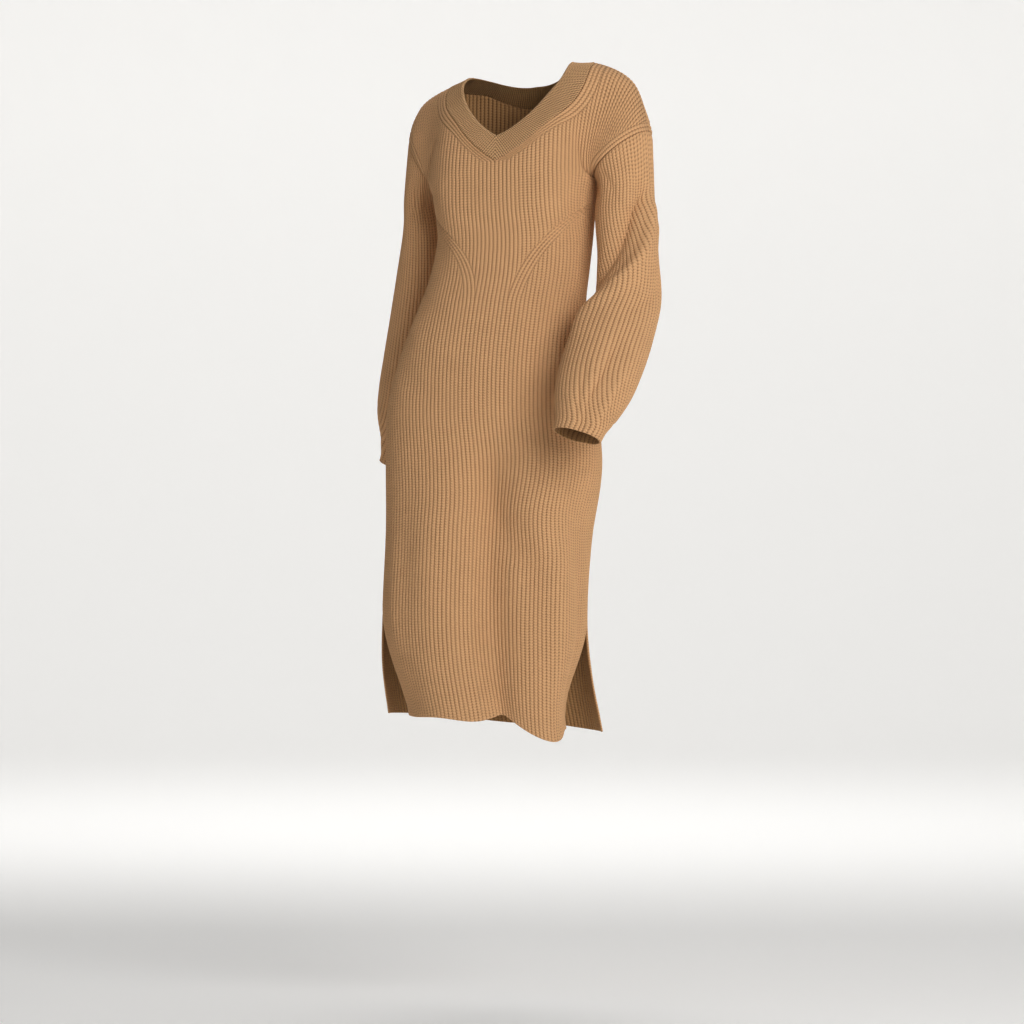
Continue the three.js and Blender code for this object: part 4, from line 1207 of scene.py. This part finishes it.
def studio_sweep():
    """A round floor that curves up into a wall: a profile of floor, quarter circle and wall, turned about
    the upright axis."""
    angle = np.linspace(0, np.pi / 2, 12)
    reach = np.concatenate([[0.02], SWEEP_RADIUS - SWEEP_BEND * (1 - np.sin(angle)), [SWEEP_RADIUS]])
    height = np.concatenate([[0.0], SWEEP_BEND * (1 - np.cos(angle)), [SWEEP_HEIGHT]]) + FLOOR_Z
    turn = np.linspace(0, 2 * np.pi, 97)[:-1]
    x = reach[:, None] * np.cos(turn)
    y = reach[:, None] * np.sin(turn)
    points = np.stack([x, y, height[:, None] + 0 * x], axis=-1).reshape(-1, 3)
    i = np.arange(len(reach) - 1)[:, None] * len(turn)
    j = np.arange(len(turn))[None, :]
    k = (j + 1) % len(turn)
    faces = np.stack([i + len(turn) + j, i + len(turn) + k, i + k, i + j], axis=-1).reshape(-1, 4)
    faces = [list(range(len(turn)))] + faces.tolist()
    mesh = bpy.data.meshes.new("studio_floor")
    mesh.from_pydata(points.tolist(), [], faces)
    mesh.shade_smooth()
    mesh.materials.append(lit_paint("Pale painted floor, evenly lit", "#F6F5F3", 0.17))
    floor = bpy.data.objects.new("studio_floor", mesh)
    bpy.context.collection.objects.link(floor)


class SCENE_OT_set_dress_studio(bpy.types.Operator):
    """Set the floor, the soft lights and the camera"""

    bl_idname = "scene.set_dress_studio"
    bl_label = "Studio"

    def execute(self, context):
        settings = context.scene.dress_studio
        studio_sweep()
        world = bpy.data.worlds.new("Studio air")
        world.use_nodes = True
        world.node_tree.nodes["Background"].inputs["Color"].default_value = linear("#F6F7FA")
        world.node_tree.nodes["Background"].inputs["Strength"].default_value = 0.02
        context.scene.world = world
        area_light("key", settings.key_power, 2.0, (2.45, -2.36, 0.7), (0, 0, -0.6))
        area_light("fill", settings.fill_power, 2.2, (-1.6, -3.2, 0.2), (0, 0, -0.7))
        area_light("backdrop", settings.backdrop_power * 2.4, 5.0, (-1.6, 3.4, 3.6), (-4.0, 11.0, 0.2))
        area_light("floor", settings.backdrop_power * 1.4, 5.0, (-0.8, 2.6, 4.4), (-0.8, 2.4, -1.6))
        context.scene.view_settings.view_transform = "Standard"
        turn = settings.azimuth
        right = np.array([math.cos(turn), math.sin(turn), 0])
        back = np.array([math.sin(turn), -math.cos(turn), 0])
        data = bpy.data.cameras.new("camera")
        data.sensor_width = 36
        data.lens = 36 * VIEW_DISTANCE / VIEW_WIDTH
        camera = bpy.data.objects.new("camera", data)
        centre = right * VIEW_CENTRE[0] + np.array([0, 0, VIEW_CENTRE[1]])
        camera.location = centre + back * VIEW_DISTANCE
        camera.rotation_euler = (math.pi / 2, 0, turn)
        context.collection.objects.link(camera)
        context.scene.camera = camera
        return {"FINISHED"}


class VIEW3D_PT_dress(bpy.types.Panel):
    """Sizes of the dress and a button for each of its pieces"""

    bl_idname = "VIEW3D_PT_dress"
    bl_label = "Sweater dress"
    bl_space_type = "VIEW_3D"
    bl_region_type = "UI"
    bl_category = "Dress"

    def draw(self, context):
        for group in (context.scene.dress_sizes, context.scene.dress_studio):
            for name in group.bl_rna.properties.keys()[2:]:
                self.layout.prop(group, name)
        for operator in OPERATORS:
            self.layout.operator(operator.bl_idname)


OPERATORS = (MESH_OT_knit_panels, MESH_OT_knit_sleeves, MESH_OT_knit_neckband, SCENE_OT_set_dress_studio)
CLASSES = (DressSizes, StudioSettings, *OPERATORS, VIEW3D_PT_dress)


def register():
    for item in CLASSES:
        bpy.utils.register_class(item)
    bpy.types.Scene.dress_sizes = bpy.props.PointerProperty(type=DressSizes)
    bpy.types.Scene.dress_studio = bpy.props.PointerProperty(type=StudioSettings)


def unregister():
    del bpy.types.Scene.dress_studio
    del bpy.types.Scene.dress_sizes
    for item in reversed(CLASSES):
        bpy.utils.unregister_class(item)


def main():
    """Make every piece in order."""
    register()
    bpy.ops.mesh.knit_panels()
    bpy.ops.mesh.knit_sleeves()
    bpy.ops.mesh.knit_neckband()
    bpy.ops.scene.set_dress_studio()


if __name__ == "__main__":
    main()
